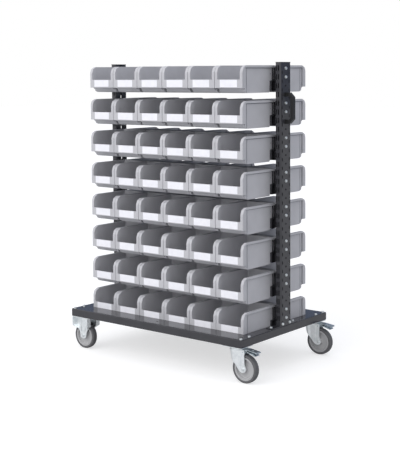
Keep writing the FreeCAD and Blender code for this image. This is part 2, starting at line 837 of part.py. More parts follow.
def rail_nodes():
    master = rail()
    rows = range(1, ROWS + 1)
    group("rails_front", [(master, ("base_centre", 0, row_height(row))) for row in rows])
    group("rails_back", [(master, ("base_centre", 0, row_height(row)), *HALF_TURN) for row in rows])
    bracket = rail_bracket()
    group("rail_brackets", [copy for row in rows for copy in ends(bracket, row_height(row))])


def fastener_nodes():
    head = hex_head()
    corners = []
    for end, way in (("right_end", -1), ("left_end", 1)):
        inset = f"{end} + {way} * (plate_length - bolt_pattern_length) / 2"
        for side in (-1, 1):
            edge = f"{side} * (base_half_depth - (plate_width - bolt_pattern_width) / 2)"
            corners.append((head, (inset, edge, "base_top")))
            corners.append((head, (inset, f"{edge} - {side} * bolt_pattern_width", "base_top")))
            foot = f"{end} + {way} * foot_bolt_inset"
            corners.append((head, (foot, f"{side} * foot_bolt_half_span", "post_foot")))
    group("base_bolts", corners)
    heads = []
    for end, turn in (("right_end", FACE_RIGHT), ("left_end", FACE_LEFT)):
        for row in range(1, ROWS + 1):
            for step in (0, 1):
                height = f"{row_height(row)} + bolt_hole_height + {step} * hole_pitch"
                heads.append((head, (end, 0, height), *turn))
        for side in (-1, 1):
            heads.append((head, (end, f"{side} * slot_column", "base_top + foot_web_bolt_height"), *turn))
    group("post_bolts", heads)
    grip = ("right_end", 0, "handle_height")
    group("handle", [(handle(), grip)])
    offset = "(handle_length - handle_foot) / 2"
    screws = [("right_end - post_sheet", 0, f"handle_height + {side} * {offset}") for side in (-1, 1)]
    group("handle_screws", [(head, spot, *FACE_LEFT) for spot in screws])


def bin_nodes():
    box = storage_bin()
    plain = plain_bin()
    card = label_card()

    def spot(column, row, side):
        across = f"base_centre + ({column} - {(BINS_PER_ROW + 1) / 2}) * bin_pitch"
        return (across, f"{side} * label_plane", f"{row_height(row)} - card_centre")

    def line(master, rows, side):
        turn = HALF_TURN if side > 0 else ()
        columns = range(1, BINS_PER_ROW + 1)
        return [(master, spot(column, row, side), *turn) for row in rows for column in columns]

    for column in range(1, BINS_PER_ROW + 1):
        group(f"bin_top_front_{column}", [(box, spot(column, LIFT_OFF_ROW, -1))])
        group(f"label_card_{column}", [(card, spot(column, LIFT_OFF_ROW, -1))])
    fixed_rows = [row for row in range(1, ROWS + 1) if row != LIFT_OFF_ROW]
    for row in fixed_rows:
        group(f"bins_front_row_{row}", line(plain, [row], -1))
    upper = range(1, ROWS + 1 - LOWER_BACK_ROWS)
    lower = range(ROWS + 1 - LOWER_BACK_ROWS, ROWS + 1)
    group("bins_back_upper", line(plain, upper, 1))
    group("bins_back_lower", line(plain, lower, 1))
    group("label_cards_front", line(card, fixed_rows, -1))
    group("label_cards_back", line(card, range(1, ROWS + 1), 1))


def caster_nodes():
    wheel_rim = rim()
    wheel_tyre = tyre()
    wheel_axle = axle()
    plate = swivel_plate()
    fork = swivel_fork()
    pedal = brake_pedal()
    for name, side, heading in (("front", -1, 0), ("back", 1, SIZES["back_heading"])):
        across = f"{side} * caster_line"
        pivot = ("swivel_axis", across, 0)
        wheel = (f"swivel_axis + trail * cos({heading})", f"{across} + trail * sin({heading})", "wheel_radius")
        turn = (UP, heading)
        group(f"swivel_plate_{name}", [(plate, pivot)])
        group(f"swivel_fork_{name}", [(fork, pivot, *turn)])
        group(f"brake_pedal_{name}", [(pedal, pivot, *turn)])
        group(f"swivel_axle_{name}", [(wheel_axle, wheel, *turn)])
        group(f"swivel_rim_{name}", [(wheel_rim, wheel, *turn)])
        group(f"swivel_tyre_{name}", [(wheel_tyre, wheel, *turn)])
    rigid = fixed_fork()
    for name, side in (("front", -1), ("back", 1)):
        across = f"{side} * caster_line"
        wheel = ("fixed_axis", across, "wheel_radius")
        group(f"fixed_fork_{name}", [(rigid, ("fixed_axis", across, 0))])
        group(f"fixed_axle_{name}", [(wheel_axle, wheel)])
        group(f"fixed_rim_{name}", [(wheel_rim, wheel)])
        group(f"fixed_tyre_{name}", [(wheel_tyre, wheel)])


def check_document():
    """Every object has to be up to date, every cut has to remove something and every node has to be valid."""
    for item in document.Objects:
        if "Invalid" in item.State or "Error" in item.State:
            raise RuntimeError(f"{item.Label} failed: {item.State}")
        if item.TypeId == "PartDesign::Pocket":
            if item.Shape.Volume > item.getBaseObject().Shape.Volume - 1:
                raise RuntimeError(f"{item.Label} cuts nothing")
    for node in nodes:
        if node.Shape.isNull() or not node.Shape.isValid():
            raise RuntimeError(f"{node.Label} has no valid shape")


base_nodes()
post_nodes()
rail_nodes()
fastener_nodes()
bin_nodes()
caster_nodes()
document.recompute()
check_document()
os.makedirs("parts", exist_ok=True)
for node in nodes:
    node.Shape.exportStep(f"parts/{node.Label}.step")
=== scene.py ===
import math

import bmesh
import bpy
from mathutils import Matrix, Vector


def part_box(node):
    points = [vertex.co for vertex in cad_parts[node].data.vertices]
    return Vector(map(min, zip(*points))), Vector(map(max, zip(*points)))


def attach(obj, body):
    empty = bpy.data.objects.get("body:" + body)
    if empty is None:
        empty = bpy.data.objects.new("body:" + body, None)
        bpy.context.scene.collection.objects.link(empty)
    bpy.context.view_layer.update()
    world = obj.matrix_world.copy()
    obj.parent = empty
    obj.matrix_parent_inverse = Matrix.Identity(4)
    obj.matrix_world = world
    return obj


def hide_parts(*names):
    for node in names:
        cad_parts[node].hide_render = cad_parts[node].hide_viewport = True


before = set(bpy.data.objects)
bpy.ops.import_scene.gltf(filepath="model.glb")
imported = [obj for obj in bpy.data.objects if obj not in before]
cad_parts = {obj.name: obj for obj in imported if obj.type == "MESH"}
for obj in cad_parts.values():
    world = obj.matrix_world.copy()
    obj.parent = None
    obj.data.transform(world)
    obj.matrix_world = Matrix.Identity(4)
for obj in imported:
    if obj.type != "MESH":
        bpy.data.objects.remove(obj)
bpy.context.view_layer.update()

MM = 0.001

# Side members of the base: two long channels bent from steel sheet, with a wide top flange under the
# lowest bins. They are powder coated dark grey, semi-gloss, and the casters are bolted under them.
BASE_SHEET = 2.5 * MM
BASE_BEND = 4 * MM
RETURN_WIDTH = 22 * MM
FLANGE_SLOT = (16 * MM, 7 * MM)
FLANGE_SLOT_INSET = 44 * MM
FLANGE_SLOT_PITCH = 480 * MM
PRESSED_EDGE = 0.4 * MM
SHARP_ANGLE = math.radians(40)
SMOOTH_ANGLE = math.radians(50)
TOUCH = 0.01 * MM
NEAR = 0.02 * MM
CLOSE = 0.1 * MM
ROUND_END = 0.499
PAINT_DARK = "343438"
PAINT_LIGHT = "3D3D41"
PAINT_CLOUD = 120 * MM
PAINT_ROUGHNESS = (0.09, 0.14)
ORANGE_PEEL = 2.2 * MM
ORANGE_PEEL_DEPTH = 0.006 * MM
NOISE_RANGE = (0.3, 0.7)
CLOUD_DETAIL = 3
RELIEF_DETAIL = 2
side_low, side_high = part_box("base_side_front")


def near(a, b):
    return abs(a - b) < NEAR


def let_go():
    """Object mode with nothing selected, which every new primitive needs."""
    if bpy.context.mode != "OBJECT":
        bpy.ops.object.mode_set(mode="OBJECT")
    bpy.ops.object.select_all(action="DESELECT")


def take_up(piece, mode="OBJECT"):
    """Make a piece the only one that the next operators work on."""
    let_go()
    piece.select_set(True)
    bpy.context.view_layer.objects.active = piece
    bpy.ops.object.mode_set(mode=mode)


def start(name, size=(1, 1, 1)):
    """Name and size the primitive that was just added, settle it in its mesh and open it in edit mode."""
    piece = bpy.context.active_object
    piece.name = name
    piece.scale = size
    bpy.ops.object.transform_apply(location=True, rotation=True, scale=True)
    bpy.ops.object.mode_set(mode="EDIT")
    bpy.ops.mesh.select_mode(type="VERT")
    return piece


def pick(kind, test):
    """In edit mode, select the verts, edges or faces whose every corner passes a test of its place."""
    mesh = bmesh.from_edit_mesh(bpy.context.active_object.data)
    bpy.ops.mesh.select_mode(type={"verts": "VERT", "edges": "EDGE", "faces": "FACE"}[kind])
    bpy.ops.mesh.select_all(action="DESELECT")
    for part in getattr(mesh, kind):
        corners = [part] if kind == "verts" else part.verts
        part.select_set(all(test(corner.co) for corner in corners))
    mesh.select_flush_mode()
    bmesh.update_edit_mesh(bpy.context.active_object.data)


def arc_steps(radius):
    """Facets of a rounded corner, more of them on a wider one."""
    return max(2, min(8, round(1.4 * math.sqrt(radius / MM))))


def altered(piece, kind, **settings):
    """Give a piece a modifier with its settings and apply it."""
    take_up(piece)
    change = piece.modifiers.new("change", kind)
    for name, value in settings.items():
        setattr(change, name, value)
    bpy.ops.object.modifier_apply(modifier=change.name)
    return piece


def thickened(piece, sheet):
    """Wall of a sheet's thickness behind its outer faces."""
    return altered(piece, "SOLIDIFY", thickness=sheet, offset=-1, use_even_offset=True)


def folded(name, section, along, low, high, sheet, bend):
    """Strip of sheet drawn on from corner to corner of its outer section, folds rounded, then thickened."""
    axis = "XYZ".index(along)

    def spot(corner, depth):
        place = list(corner)
        place.insert(axis, depth)
        return Vector(place)

    corners = [spot(corner, 0) for corner in section]
    length = spot((0, 0), high - low)
    across = corners[1] - corners[0]
    sides = (length.normalized(), across.normalized(), length.cross(across).normalized())
    let_go()
    bpy.ops.mesh.primitive_plane_add(
        size=1, location=(corners[0] + corners[1] + spot((0, 0), low + high)) / 2,
        rotation=Matrix(sides).transposed().to_euler())
    piece = start(name, (length.length, across.length, 1))
    far = corners[1]
    pick("edges", lambda p: all(near(p[k], far[k]) for k in range(3) if k != axis))
    for here, there in zip(corners[1:], corners[2:]):
        bpy.ops.mesh.extrude_edges_move(TRANSFORM_OT_translate={"value": there - here})
    bpy.ops.mesh.select_all(action="SELECT")
    bpy.ops.mesh.remove_doubles(threshold=TOUCH)
    bpy.ops.mesh.normals_make_consistent(inside=False)
    folds = corners[1:-1]
    pick("edges", lambda p: any(all(near(p[k], c[k]) for k in range(3) if k != axis) for c in folds))
    bpy.ops.mesh.bevel(offset=bend, segments=arc_steps(bend), affect="EDGES")
    return thickened(piece, sheet)


def drawn(name, spots):
    """Line drawn from spot to spot and left open in edit mode."""
    let_go()
    bpy.ops.mesh.primitive_plane_add(size=MM, location=spots[0])
    piece = start(name)
    bpy.ops.mesh.merge(type="CENTER")
    for here, there in zip(spots, spots[1:]):
        bpy.ops.mesh.extrude_vertices_move(TRANSFORM_OT_translate={"value": there - here})
    return piece


def traced(name, corners, along, low, high):
    """Outline filled and drawn out along an axis; a corner's third value is its radius."""
    axis = "XYZ".index(along)
    first, second = [k for k in range(3) if k != axis]

    def spot(across, up, depth):
        place = [across, up]
        place.insert(axis, depth)
        return Vector(place)

    piece = drawn(name, [spot(corner[0], corner[1], low) for corner in corners])
    bpy.ops.mesh.select_all(action="SELECT")
    bpy.ops.mesh.edge_face_add()
    bpy.ops.mesh.extrude_region_move(TRANSFORM_OT_translate={"value": spot(0, 0, high - low)})
    bpy.ops.mesh.select_all(action="SELECT")
    bpy.ops.mesh.normals_make_consistent(inside=False)
    for corner in corners:
        if len(corner) > 2:
            pick("edges", lambda p: near(p[first], corner[0]) and near(p[second], corner[1]))
            bpy.ops.mesh.bevel(offset=corner[2], segments=arc_steps(corner[2]), affect="EDGES")
    let_go()
    return piece


def rectangle(low, high, radius):
    """Corners of a rectangle with a radius at each."""
    return [(low[0], low[1], radius), (high[0], low[1], radius), (high[0], high[1], radius),
            (low[0], high[1], radius)]


def slot_tool(centre, length, width, along, through, depth):
    """Cutter for a slot with round ends."""
    axis = "XYZ".index(through)
    flat = [k for k in range(3) if k != axis]
    half = [(length if "XYZ"[k] == along else width) / 2 for k in flat]
    low = [centre[k] - reach for k, reach in zip(flat, half)]
    high = [centre[k] + reach for k, reach in zip(flat, half)]
    return traced("slot_tool", rectangle(low, high, ROUND_END * width), through,
                  centre[axis] - depth / 2, centre[axis] + depth / 2)


def lined_up(piece, count, step):
    """Repeat a shape in its own mesh, a step apart."""
    return altered(piece, "ARRAY", count=count, use_relative_offset=False, use_constant_offset=True,
                   constant_offset_displace=step)


def combine(piece, tool, operation="DIFFERENCE"):
    """Cut a tool's shape out of a piece, add it, or keep only what lies inside it; the tool goes."""
    altered(piece, "BOOLEAN", object=tool, operation=operation, solver="EXACT")
    bpy.data.objects.remove(tool)
    return piece


def soften(piece, width=PRESSED_EDGE, segments=2):
    """Round the sharp edges a little and shade the curves smooth, flat faces staying flat."""
    take_up(piece, "EDIT")
    bpy.ops.mesh.select_all(action="SELECT")
    bpy.ops.mesh.remove_doubles(threshold=NEAR)
    bpy.ops.mesh.dissolve_degenerate(threshold=NEAR)
    altered(piece, "BEVEL", width=width, segments=segments, limit_method="ANGLE", angle_limit=SHARP_ANGLE)
    bpy.ops.object.shade_smooth_by_angle(angle=SMOOTH_ANGLE)
    return altered(piece, "WEIGHTED_NORMAL", keep_sharp=True)


def twin(piece, name, place):
    """Copy of a piece with its own mesh, set in place in that mesh."""
    copy = bpy.data.objects.new(name, piece.data.copy())
    copy.data.transform(place)
    bpy.context.scene.collection.objects.link(copy)
    return copy


def about(centre):
    """Half turn about an upright line through a centre."""
    return Matrix.Translation(centre) @ Matrix.Rotation(math.pi, 4, "Z") @ Matrix.Translation(-centre)


def linear(code):
    """Linear colour of an sRGB hex value."""
    levels = [int(code[k:k + 2], 16) / 255 for k in (0, 2, 4)]
    return (*[v / 12.92 if v <= 0.04045 else ((v + 0.055) / 1.055) ** 2.4 for v in levels], 1)


def node(tree, kind, inputs=(), **settings):
    """Add a node with its settings; an input is a value or the output of another node."""
    made = tree.nodes.new("ShaderNode" + kind)
    for name, value in settings.items():
        setattr(made, name, value)
    for socket, value in dict(inputs).items():
        if isinstance(value, bpy.types.NodeSocket):
            tree.links.new(value, made.inputs[socket])
        else:
            made.inputs[socket].default_value = value
    return made


def new_material(name, **shader_values):
    """Material with its shader's own values set; returns it, its tree, its shader and object places."""
    material = bpy.data.materials.new(name)
    material.use_nodes = True
    tree = material.node_tree
    shader = tree.nodes["Principled BSDF"]
    for socket, value in shader_values.items():
        shader.inputs[socket.replace("_", " ")].default_value = value
    return material, tree, shader, node(tree, "TexCoord").outputs["Object"]


def mottled(tree, shader, places, socket, size, low, high):
    """Drive a colour or a level of the shader by soft noise of a real size, between two values."""
    noise = node(tree, "TexNoise", {"Vector": places, "Scale": 1 / size, "Detail": CLOUD_DETAIL})
    if isinstance(low, str):
        ramp = node(tree, "ValToRGB", {"Fac": noise.outputs[0]})
        for stop, position, code in zip(ramp.color_ramp.elements, NOISE_RANGE, (low, high)):
            stop.position = position
            stop.color = linear(code)
        tree.links.new(ramp.outputs["Color"], shader.inputs[socket])
    else:
        scale = node(tree, "MapRange", {"Value": noise.outputs[0], "From Min": NOISE_RANGE[0],
                                        "From Max": NOISE_RANGE[1], "To Min": low, "To Max": high})
        tree.links.new(scale.outputs["Result"], shader.inputs[socket])


def dimpled(tree, shader, places, size, depth):
    """Fine relief of a real size and depth."""
    noise = node(tree, "TexNoise", {"Vector": places, "Scale": 1 / size, "Detail": RELIEF_DETAIL})
    relief = node(tree, "Bump", {"Height": noise.outputs[0], "Distance": depth, "Strength": 1})
    tree.links.new(relief.outputs["Normal"], shader.inputs["Normal"])


def powder_coated_steel():
    """Baked powder coat on steel: dark, semi-gloss, with an orange peel that softens reflections."""
    material, tree, shader, places = new_material("powder_coated_steel", IOR=1.5)
    mottled(tree, shader, places, "Base Color", PAINT_CLOUD, PAINT_DARK, PAINT_LIGHT)
    mottled(tree, shader, places, "Roughness", PAINT_CLOUD / 2, *PAINT_ROUGHNESS)
    dimpled(tree, shader, places, ORANGE_PEEL, ORANGE_PEEL_DEPTH)
    return material


def stands_for(piece, material, slot, body, *nodes):
    """Paint a finished piece and tie it to the frame: the nodes that it shows and its body. The slot is not
    used.
    """
    piece.data.materials.clear()
    piece.data.materials.append(material)
    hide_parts(*nodes)
    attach(piece, body)


paint = powder_coated_steel()
base_centre = Vector(((side_low.x + side_high.x) / 2, 0, 0))
side_member = folded(
    "side_member_front",
    [(side_low.y + RETURN_WIDTH, side_low.z), (side_low.y, side_low.z), (side_low.y, side_high.z),
     (side_high.y, side_high.z)],
    "X", side_low.x, side_high.x, BASE_SHEET, BASE_BEND)
slot_spot = (base_centre.x - FLANGE_SLOT_PITCH, side_low.y + FLANGE_SLOT_INSET, side_high.z)
slots = slot_tool(slot_spot, *FLANGE_SLOT, "X", "Z", 4 * BASE_SHEET)
combine(side_member, lined_up(slots, 3, (FLANGE_SLOT_PITCH, 0, 0)))
soften(side_member)
side_member_back = twin(side_member, "side_member_back", about(base_centre))
stands_for(side_member, paint, "frame_paint", "cart", "base_side_front")
stands_for(side_member_back, paint, "frame_paint", "cart", "base_side_back")

# End members of the base: channels of the same painted sheet. Their face closes the corners, where a
# narrow seam shows, and their top flange fits between the flanges of the side members.
end_low, end_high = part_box("base_end_right")
CORNER_SEAM = 0.6 * MM

end_member = folded(
    "end_member_right",
    [(end_high.x - RETURN_WIDTH, end_low.z), (end_high.x, end_low.z), (end_high.x, end_high.z),
     (end_low.x, end_high.z)],
    "Y", end_low.y, end_high.y, BASE_SHEET, BASE_SHEET + CORNER_SEAM)
inner_x = end_high.x - BASE_SHEET - CORNER_SEAM
for side in (-1, 1):
    for reach, low_z, high_z in ((-side_high.y, end_high.z - BASE_BEND, end_high.z + MM),
                                 (end_high.y - RETURN_WIDTH, end_low.z - MM, end_low.z + BASE_BEND)):
        near_y, far_y = sorted((side * reach, side * (end_high.y + MM)))
        notch = [(near_y, low_z), (far_y, low_z), (far_y, high_z), (near_y, high_z)]
        combine(end_member, traced("notch", notch, "X", end_low.x - MM, inner_x))
soften(end_member)
end_member_left = twin(end_member, "end_member_left", about(base_centre))
stands_for(end_member, paint, "frame_paint", "cart", "base_end_right")
stands_for(end_member_left, paint, "frame_paint", "cart", "base_end_left")

# Bolts of the base: zinc plated hex bolts on plain washers, two at each corner of the base and two on
# each foot bracket. The posts' bolts are the same.
BOLT_FLATS = 11.4 * MM
BOLT_HEIGHT = 5.3 * MM
WASHER_RADIUS = 6.8 * MM
WASHER_HEIGHT = 1.2 * MM
WASHER_EDGE = 0.3 * MM
HEAD_CHAMFER = 1.4 * MM
PATTERN_WIDTH = 60 * MM
FOOT_SHEET = 3 * MM
FOOT_BOLT_SPAN = 170 * MM
FOOT_BOLT_INSET = 22 * MM
ZINC_DARK = "C9CED0"
ZINC_LIGHT = "E6EAEB"
ZINC_ROUGHNESS = 0.28
ZINC_GRAIN = 3 * MM
ROUGHNESS_SPREAD = 0.1
PLATING_DEPTH = 0.01 * MM


def joined(name, *parts):
    """Several shapes as one piece."""
    let_go()
    for part in parts:
        part.select_set(True)
    bpy.context.view_layer.objects.active = parts[0]
    bpy.ops.object.join()
    parts[0].name = name
    return parts[0]


def turned(name, profile, along, closed=True, steps=48):
    """Profile of radius and height drawn out and spun about an axis through the origin."""
    axis = Vector([letter == along for letter in "XYZ"])
    out = Vector((0, 0, 1)) if along != "Z" else Vector((1, 0, 0))
    spots = [out * radius + axis * height for radius, height in profile]
    piece = drawn(name, spots)
    if closed:
        pick("verts", lambda p: min((p - spots[0]).length, (p - spots[-1]).length) < TOUCH)
        bpy.ops.mesh.edge_face_add()
    bpy.ops.mesh.select_all(action="SELECT")
    bpy.ops.mesh.spin(steps=steps, angle=math.tau, center=(0, 0, 0), axis=axis)
    bpy.ops.mesh.select_all(action="SELECT")
    bpy.ops.mesh.remove_doubles(threshold=TOUCH)
    bpy.ops.mesh.normals_make_consistent(inside=False)
    let_go()
    return piece


def zinc_plate(name, dark, light, roughness, grain):
    """Zinc plated steel: a pale blue-white metal, silky, with the plating's fine cloudy grain."""
    material, tree, shader, places = new_material(name, Metallic=1)
    mottled(tree, shader, places, "Base Color", grain, dark, light)
    mottled(tree, shader, places, "Roughness", grain / 2, roughness, roughness + ROUGHNESS_SPREAD)
    dimpled(tree, shader, places, grain / 4, PLATING_DEPTH)
    return material


def hex_bolt(name):
    """Bolt head on its washer, standing up from the origin."""
    let_go()
    bpy.ops.mesh.primitive_cylinder_add(
        vertices=6, radius=BOLT_FLATS / math.sqrt(3), depth=BOLT_HEIGHT - WASHER_HEIGHT,
        location=(0, 0, (BOLT_HEIGHT + WASHER_HEIGHT) / 2))
    head = start("head")
    pick("edges", lambda p: near(p.z, BOLT_HEIGHT))
    bpy.ops.mesh.bevel(offset=HEAD_CHAMFER, segments=3, affect="EDGES")
    let_go()
    washer = turned("washer", [(0, WASHER_HEIGHT), (WASHER_RADIUS - WASHER_EDGE, WASHER_HEIGHT),
                               (WASHER_RADIUS, WASHER_HEIGHT - WASHER_EDGE), (WASHER_RADIUS, 0), (0, 0)],
                    "Z", closed=False, steps=24)
    bolt = joined(name, head, washer)
    take_up(bolt)
    bpy.ops.object.shade_smooth_by_angle(angle=SMOOTH_ANGLE)
    return bolt


def laid_out(master, name, places):
    """Copies of a master at several places, as one piece; the master goes."""
    copies = [twin(master, name, place) for place in places]
    bpy.data.objects.remove(master)
    return joined(name, *copies)


zinc = zinc_plate("zinc_plated_bolts", ZINC_DARK, ZINC_LIGHT, ZINC_ROUGHNESS, ZINC_GRAIN)
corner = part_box("base_bolts")[1]
base_top = side_high.z
first_x = corner.x - BOLT_FLATS / math.sqrt(3)
first_y = corner.y - BOLT_FLATS / 2
places = []
for side in (-1, 1):
    for across in (first_y, first_y - PATTERN_WIDTH):
        places.append(Matrix.Translation((first_x, side * across, base_top)))
    foot = (end_high.x - FOOT_BOLT_INSET, side * FOOT_BOLT_SPAN / 2, base_top + FOOT_SHEET)
    places.append(Matrix.Translation(foot))
places += [about(base_centre) @ place for place in places]
base_bolts = laid_out(hex_bolt("base_bolt"), "base_bolts_and_washers", places)
stands_for(base_bolts, zinc, "zinc", "cart", "base_bolts")

# Foot brackets: a painted plate on each end member, bolted down through its rounded ends. A tab folded
# up from it stands inside the post, against its web.
FOOT_WIDTH = 40 * MM
PLATE_CORNER = 6 * MM
TAB_HALF_WIDTH = 34 * MM
TAB_CORNER = 5 * MM
POST_SHEET = 3 * MM
plate_low, plate_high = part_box("foot_brackets")

foot_outline = rectangle((plate_high.x - FOOT_WIDTH, plate_low.y), (plate_high.x, plate_high.y), PLATE_CORNER)
foot_plate = traced("foot_plate", foot_outline, "Z", base_top, base_top + FOOT_SHEET)
tab_face = end_high.x - POST_SHEET
tab = traced("foot_tab", [(-TAB_HALF_WIDTH, base_top), (TAB_HALF_WIDTH, base_top),
                          (TAB_HALF_WIDTH, plate_high.z, TAB_CORNER),
                          (-TAB_HALF_WIDTH, plate_high.z, TAB_CORNER)],
             "X", tab_face - FOOT_SHEET, tab_face)
foot_bracket = soften(combine(foot_plate, tab, "UNION"))
foot_bracket.name = "foot_bracket_right"
foot_bracket_left = twin(foot_bracket, "foot_bracket_left", about(base_centre))
for piece in (foot_bracket, foot_bracket_left):
    stands_for(piece, paint, "frame_paint", "cart", "foot_brackets")

# Posts: perforated C-sections rolled from 3 mm steel and powder coated. Their web has a line of round
# holes between two columns of slots, and each flange two columns of longer slots, all at one pitch.
POST_BEND = 7 * MM
POST_LIP = 35 * MM
HOLE_EDGE = 0.3 * MM
HOLE_PITCH = 38.4 * MM
HOLE_RADIUS = 4.3 * MM
FIRST_HOLE = 34.2 * MM
WEB_SLOT = (16 * MM, 6 * MM)
WEB_SLOT_COLUMN = 27 * MM
EDGE_SLOT = (25 * MM, 5 * MM)
EDGE_SLOT_COLUMNS = (8 * MM, 18.5 * MM)
HOLES = 30
post_low, post_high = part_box("post_right")

post = folded("post_right_section", [
    (post_low.x, post_low.y + POST_LIP), (post_low.x, post_low.y), (post_high.x, post_low.y),
    (post_high.x, post_high.y), (post_low.x, post_high.y), (post_low.x, post_high.y - POST_LIP)],
    "Z", post_low.z, post_high.z, POST_SHEET, POST_BEND)
hole_foot = post_low.z + FIRST_HOLE
up = (0, 0, HOLE_PITCH)
drill_reach = 2 * POST_SHEET
drill = turned("drill", [(0, drill_reach), (HOLE_RADIUS, drill_reach), (HOLE_RADIUS, -drill_reach),
                         (0, -drill_reach)], "X", closed=False, steps=20)
drill.data.transform(Matrix.Translation((post_high.x, 0, hole_foot)))
tools = [lined_up(drill, HOLES, up)]
for column in (-1, 1):
    spot = (post_high.x, column * WEB_SLOT_COLUMN, hole_foot - HOLE_PITCH / 2)
    tools.append(lined_up(slot_tool(spot, *WEB_SLOT, "Z", "X", 4 * POST_SHEET), HOLES, up))
for column in EDGE_SLOT_COLUMNS:
    for side in (-1, 1):
        spot = (post_low.x + column, side * post_high.y, hole_foot)
        tools.append(lined_up(slot_tool(spot, *EDGE_SLOT, "Z", "Y", 4 * POST_SHEET), HOLES, up))
combine(post, joined("perforation", *tools))
soften(post, HOLE_EDGE, 1)
post_left = twin(post, "post_left_section", about(base_centre))
stands_for(post, paint, "frame_paint", "cart", "post_right")
stands_for(post_left, paint, "frame_paint", "cart", "post_left")

# Post caps: thin black moulded lids that close the tops of the posts, flush with their walls. They are
# polyethylene, satin and slightly worn.
CAP_CORNER = 3 * MM
CAP_EDGE = 0.6 * MM
CAP_DARK = "1C1C1E"
CAP_LIGHT = "29292B"
CAP_GRAIN = 0.8 * MM
BLACK_CLOUD = 40 * MM
BLACK_ROUGHNESS = (0.42, 0.5)
BLACK_RELIEF = 0.03 * MM
cap_low, cap_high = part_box("post_caps")


def black_plastic(name, grain, dark, light):
    """Moulded black plastic: deep, even, satin, with the fine spark-eroded grain of its mould."""
    material, tree, shader, places = new_material(name, IOR=1.49)
    mottled(tree, shader, places, "Base Color", BLACK_CLOUD, dark, light)
    mottled(tree, shader, places, "Roughness", BLACK_CLOUD / 2, *BLACK_ROUGHNESS)
    dimpled(tree, shader, places, grain, BLACK_RELIEF)
    return material


cap_black = black_plastic("black_polyethylene", CAP_GRAIN, CAP_DARK, CAP_LIGHT)
cap = traced("post_cap_right", rectangle((post_low.x, post_low.y), (post_high.x, post_high.y), CAP_CORNER),
             "Z", cap_low.z, cap_high.z)
soften(cap, CAP_EDGE)
cap_left = twin(cap, "post_cap_left", about(base_centre))
for piece in (cap, cap_left):
    stands_for(piece, cap_black, "cap_plastic", "cart", "post_caps")

# Bolts of the posts: the base's bolts, lying in the posts' faces. Two hold each row's bracket, two holes
# of the middle line apart, and two hold each foot.
ROWS = 8
ROW_PITCH = 4 * HOLE_PITCH
FOOT_BOLT_HEIGHT = 12 * MM
lying = Matrix.Rotation(math.radians(90), 4, "Y")
places = []
for row in range(ROWS):
    for step in (0, 1):
        spot = (end_high.x, 0, hole_foot + row * ROW_PITCH + step * HOLE_PITCH)
        places.append(Matrix.Translation(spot) @ lying)
for side in (-1, 1):
    spot = (end_high.x, side * WEB_SLOT_COLUMN, base_top + FOOT_BOLT_HEIGHT)
    places.append(Matrix.Translation(spot) @ lying)
places += [about(base_centre) @ place for place in places]
post_bolts = laid_out(hex_bolt("post_bolt"), "post_bolts_and_washers", places)
stands_for(post_bolts, zinc, "zinc", "cart", "post_bolts")

# Rails: box sections rolled from 2 mm steel with an upright lip that the bins hook over, powder coated.
# Their ends stay open, and the lip is cut down beyond the outer bins.
RAIL_SHEET = 2 * MM
RAIL_BEND = 3 * MM
RAIL_HEIGHT = 46 * MM
LIP_FACE = 15.75 * MM
LIP_END = 5 * MM
LIP_CORNER = 0.1 * MM
rails_low, rails_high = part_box("rails_front")
rail_foot = rails_low.z
rail_top = rail_foot + RAIL_HEIGHT
lip_top = rails_high.z - (ROWS - 1) * ROW_PITCH

rail = folded("rail", [(-LIP_FACE, lip_top), (-LIP_FACE, rail_top), (rails_low.y, rail_top),
                       (rails_low.y, rail_foot), (rails_high.y, rail_foot), (rails_high.y, rail_top),
                       (RAIL_SHEET - LIP_FACE, rail_top)],
              "X", rails_low.x, rails_high.x, RAIL_SHEET, RAIL_BEND)
for bin_end, rail_end in ((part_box("bin_top_front_1")[0].x + MM, rails_low.x - MM),
                          (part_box("bin_top_front_6")[1].x - MM, rails_high.x + MM)):
    low_x, high_x = sorted((bin_end, rail_end))
    lip_end = rectangle((low_x, rail_top + LIP_END), (high_x, lip_top + MM), LIP_CORNER)
    combine(rail, traced("lip_end", lip_end, "Y", -LIP_FACE - MM, RAIL_SHEET - LIP_FACE + MM))
soften(rail, HOLE_EDGE)
for row in range(ROWS):
    lift = Matrix.Translation((0, 0, (ROWS - 1 - row) * ROW_PITCH))
    front_rail = twin(rail, f"rail_front_{row + 1}", lift)
    back_rail = twin(rail, f"rail_back_{row + 1}", lift @ about(base_centre))
    stands_for(front_rail, paint, "frame_paint", "cart", "rails_front")
    stands_for(back_rail, paint, "frame_paint", "cart", "rails_back")
bpy.data.objects.remove(rail)

# Rail brackets: a plate inside the post with a tongue between the two rails of a row. The CAD shape stays
# and is painted like the rest.


def finished(name, material):
    """Give a CAD node that stays its material."""
    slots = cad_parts[name].data.materials
    slots.clear()
    slots.append(material)


finished("rail_brackets", paint)

# Swivel casters' top plates: bright zinc plated steel with four oblong bolt holes. The upper race and the
# king pin with its head are one with the plate.
PLATE_HALF = (52.5 * MM, 42.5 * MM)
PLATE_SHEET = 3 * MM
TOP_CORNER = 6 * MM
BOLT_PATTERN = (40 * MM, 30 * MM)
OBLONG_HOLE = (12 * MM, 9 * MM)
RACE_RADIUS = 30 * MM
RACE_SPLIT = 150.5 * MM
RACE_GAP = 0.3 * MM
PIN_RADIUS = 6 * MM
PIN_HEAD_RADIUS = 11 * MM
PIN_HEAD_TOP = 142.7 * MM
PIN_HEAD_FOOT = 137.7 * MM
STEEL_EDGE = 0.3 * MM
STEEL_DARK = "E6EBED"
STEEL_LIGHT = "F7FAFB"
STEEL_ROUGHNESS = 0.34
STEEL_GRAIN = 14 * MM
caster_top = side_low.z
plate_foot = caster_top - PLATE_SHEET
caster_steel = zinc_plate("bright_zinc_steel", STEEL_DARK, STEEL_LIGHT, STEEL_ROUGHNESS, STEEL_GRAIN)


def middle(node_name):
    """Middle of a node's box."""
    low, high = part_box(node_name)
    return (Vector(low) + Vector(high)) / 2


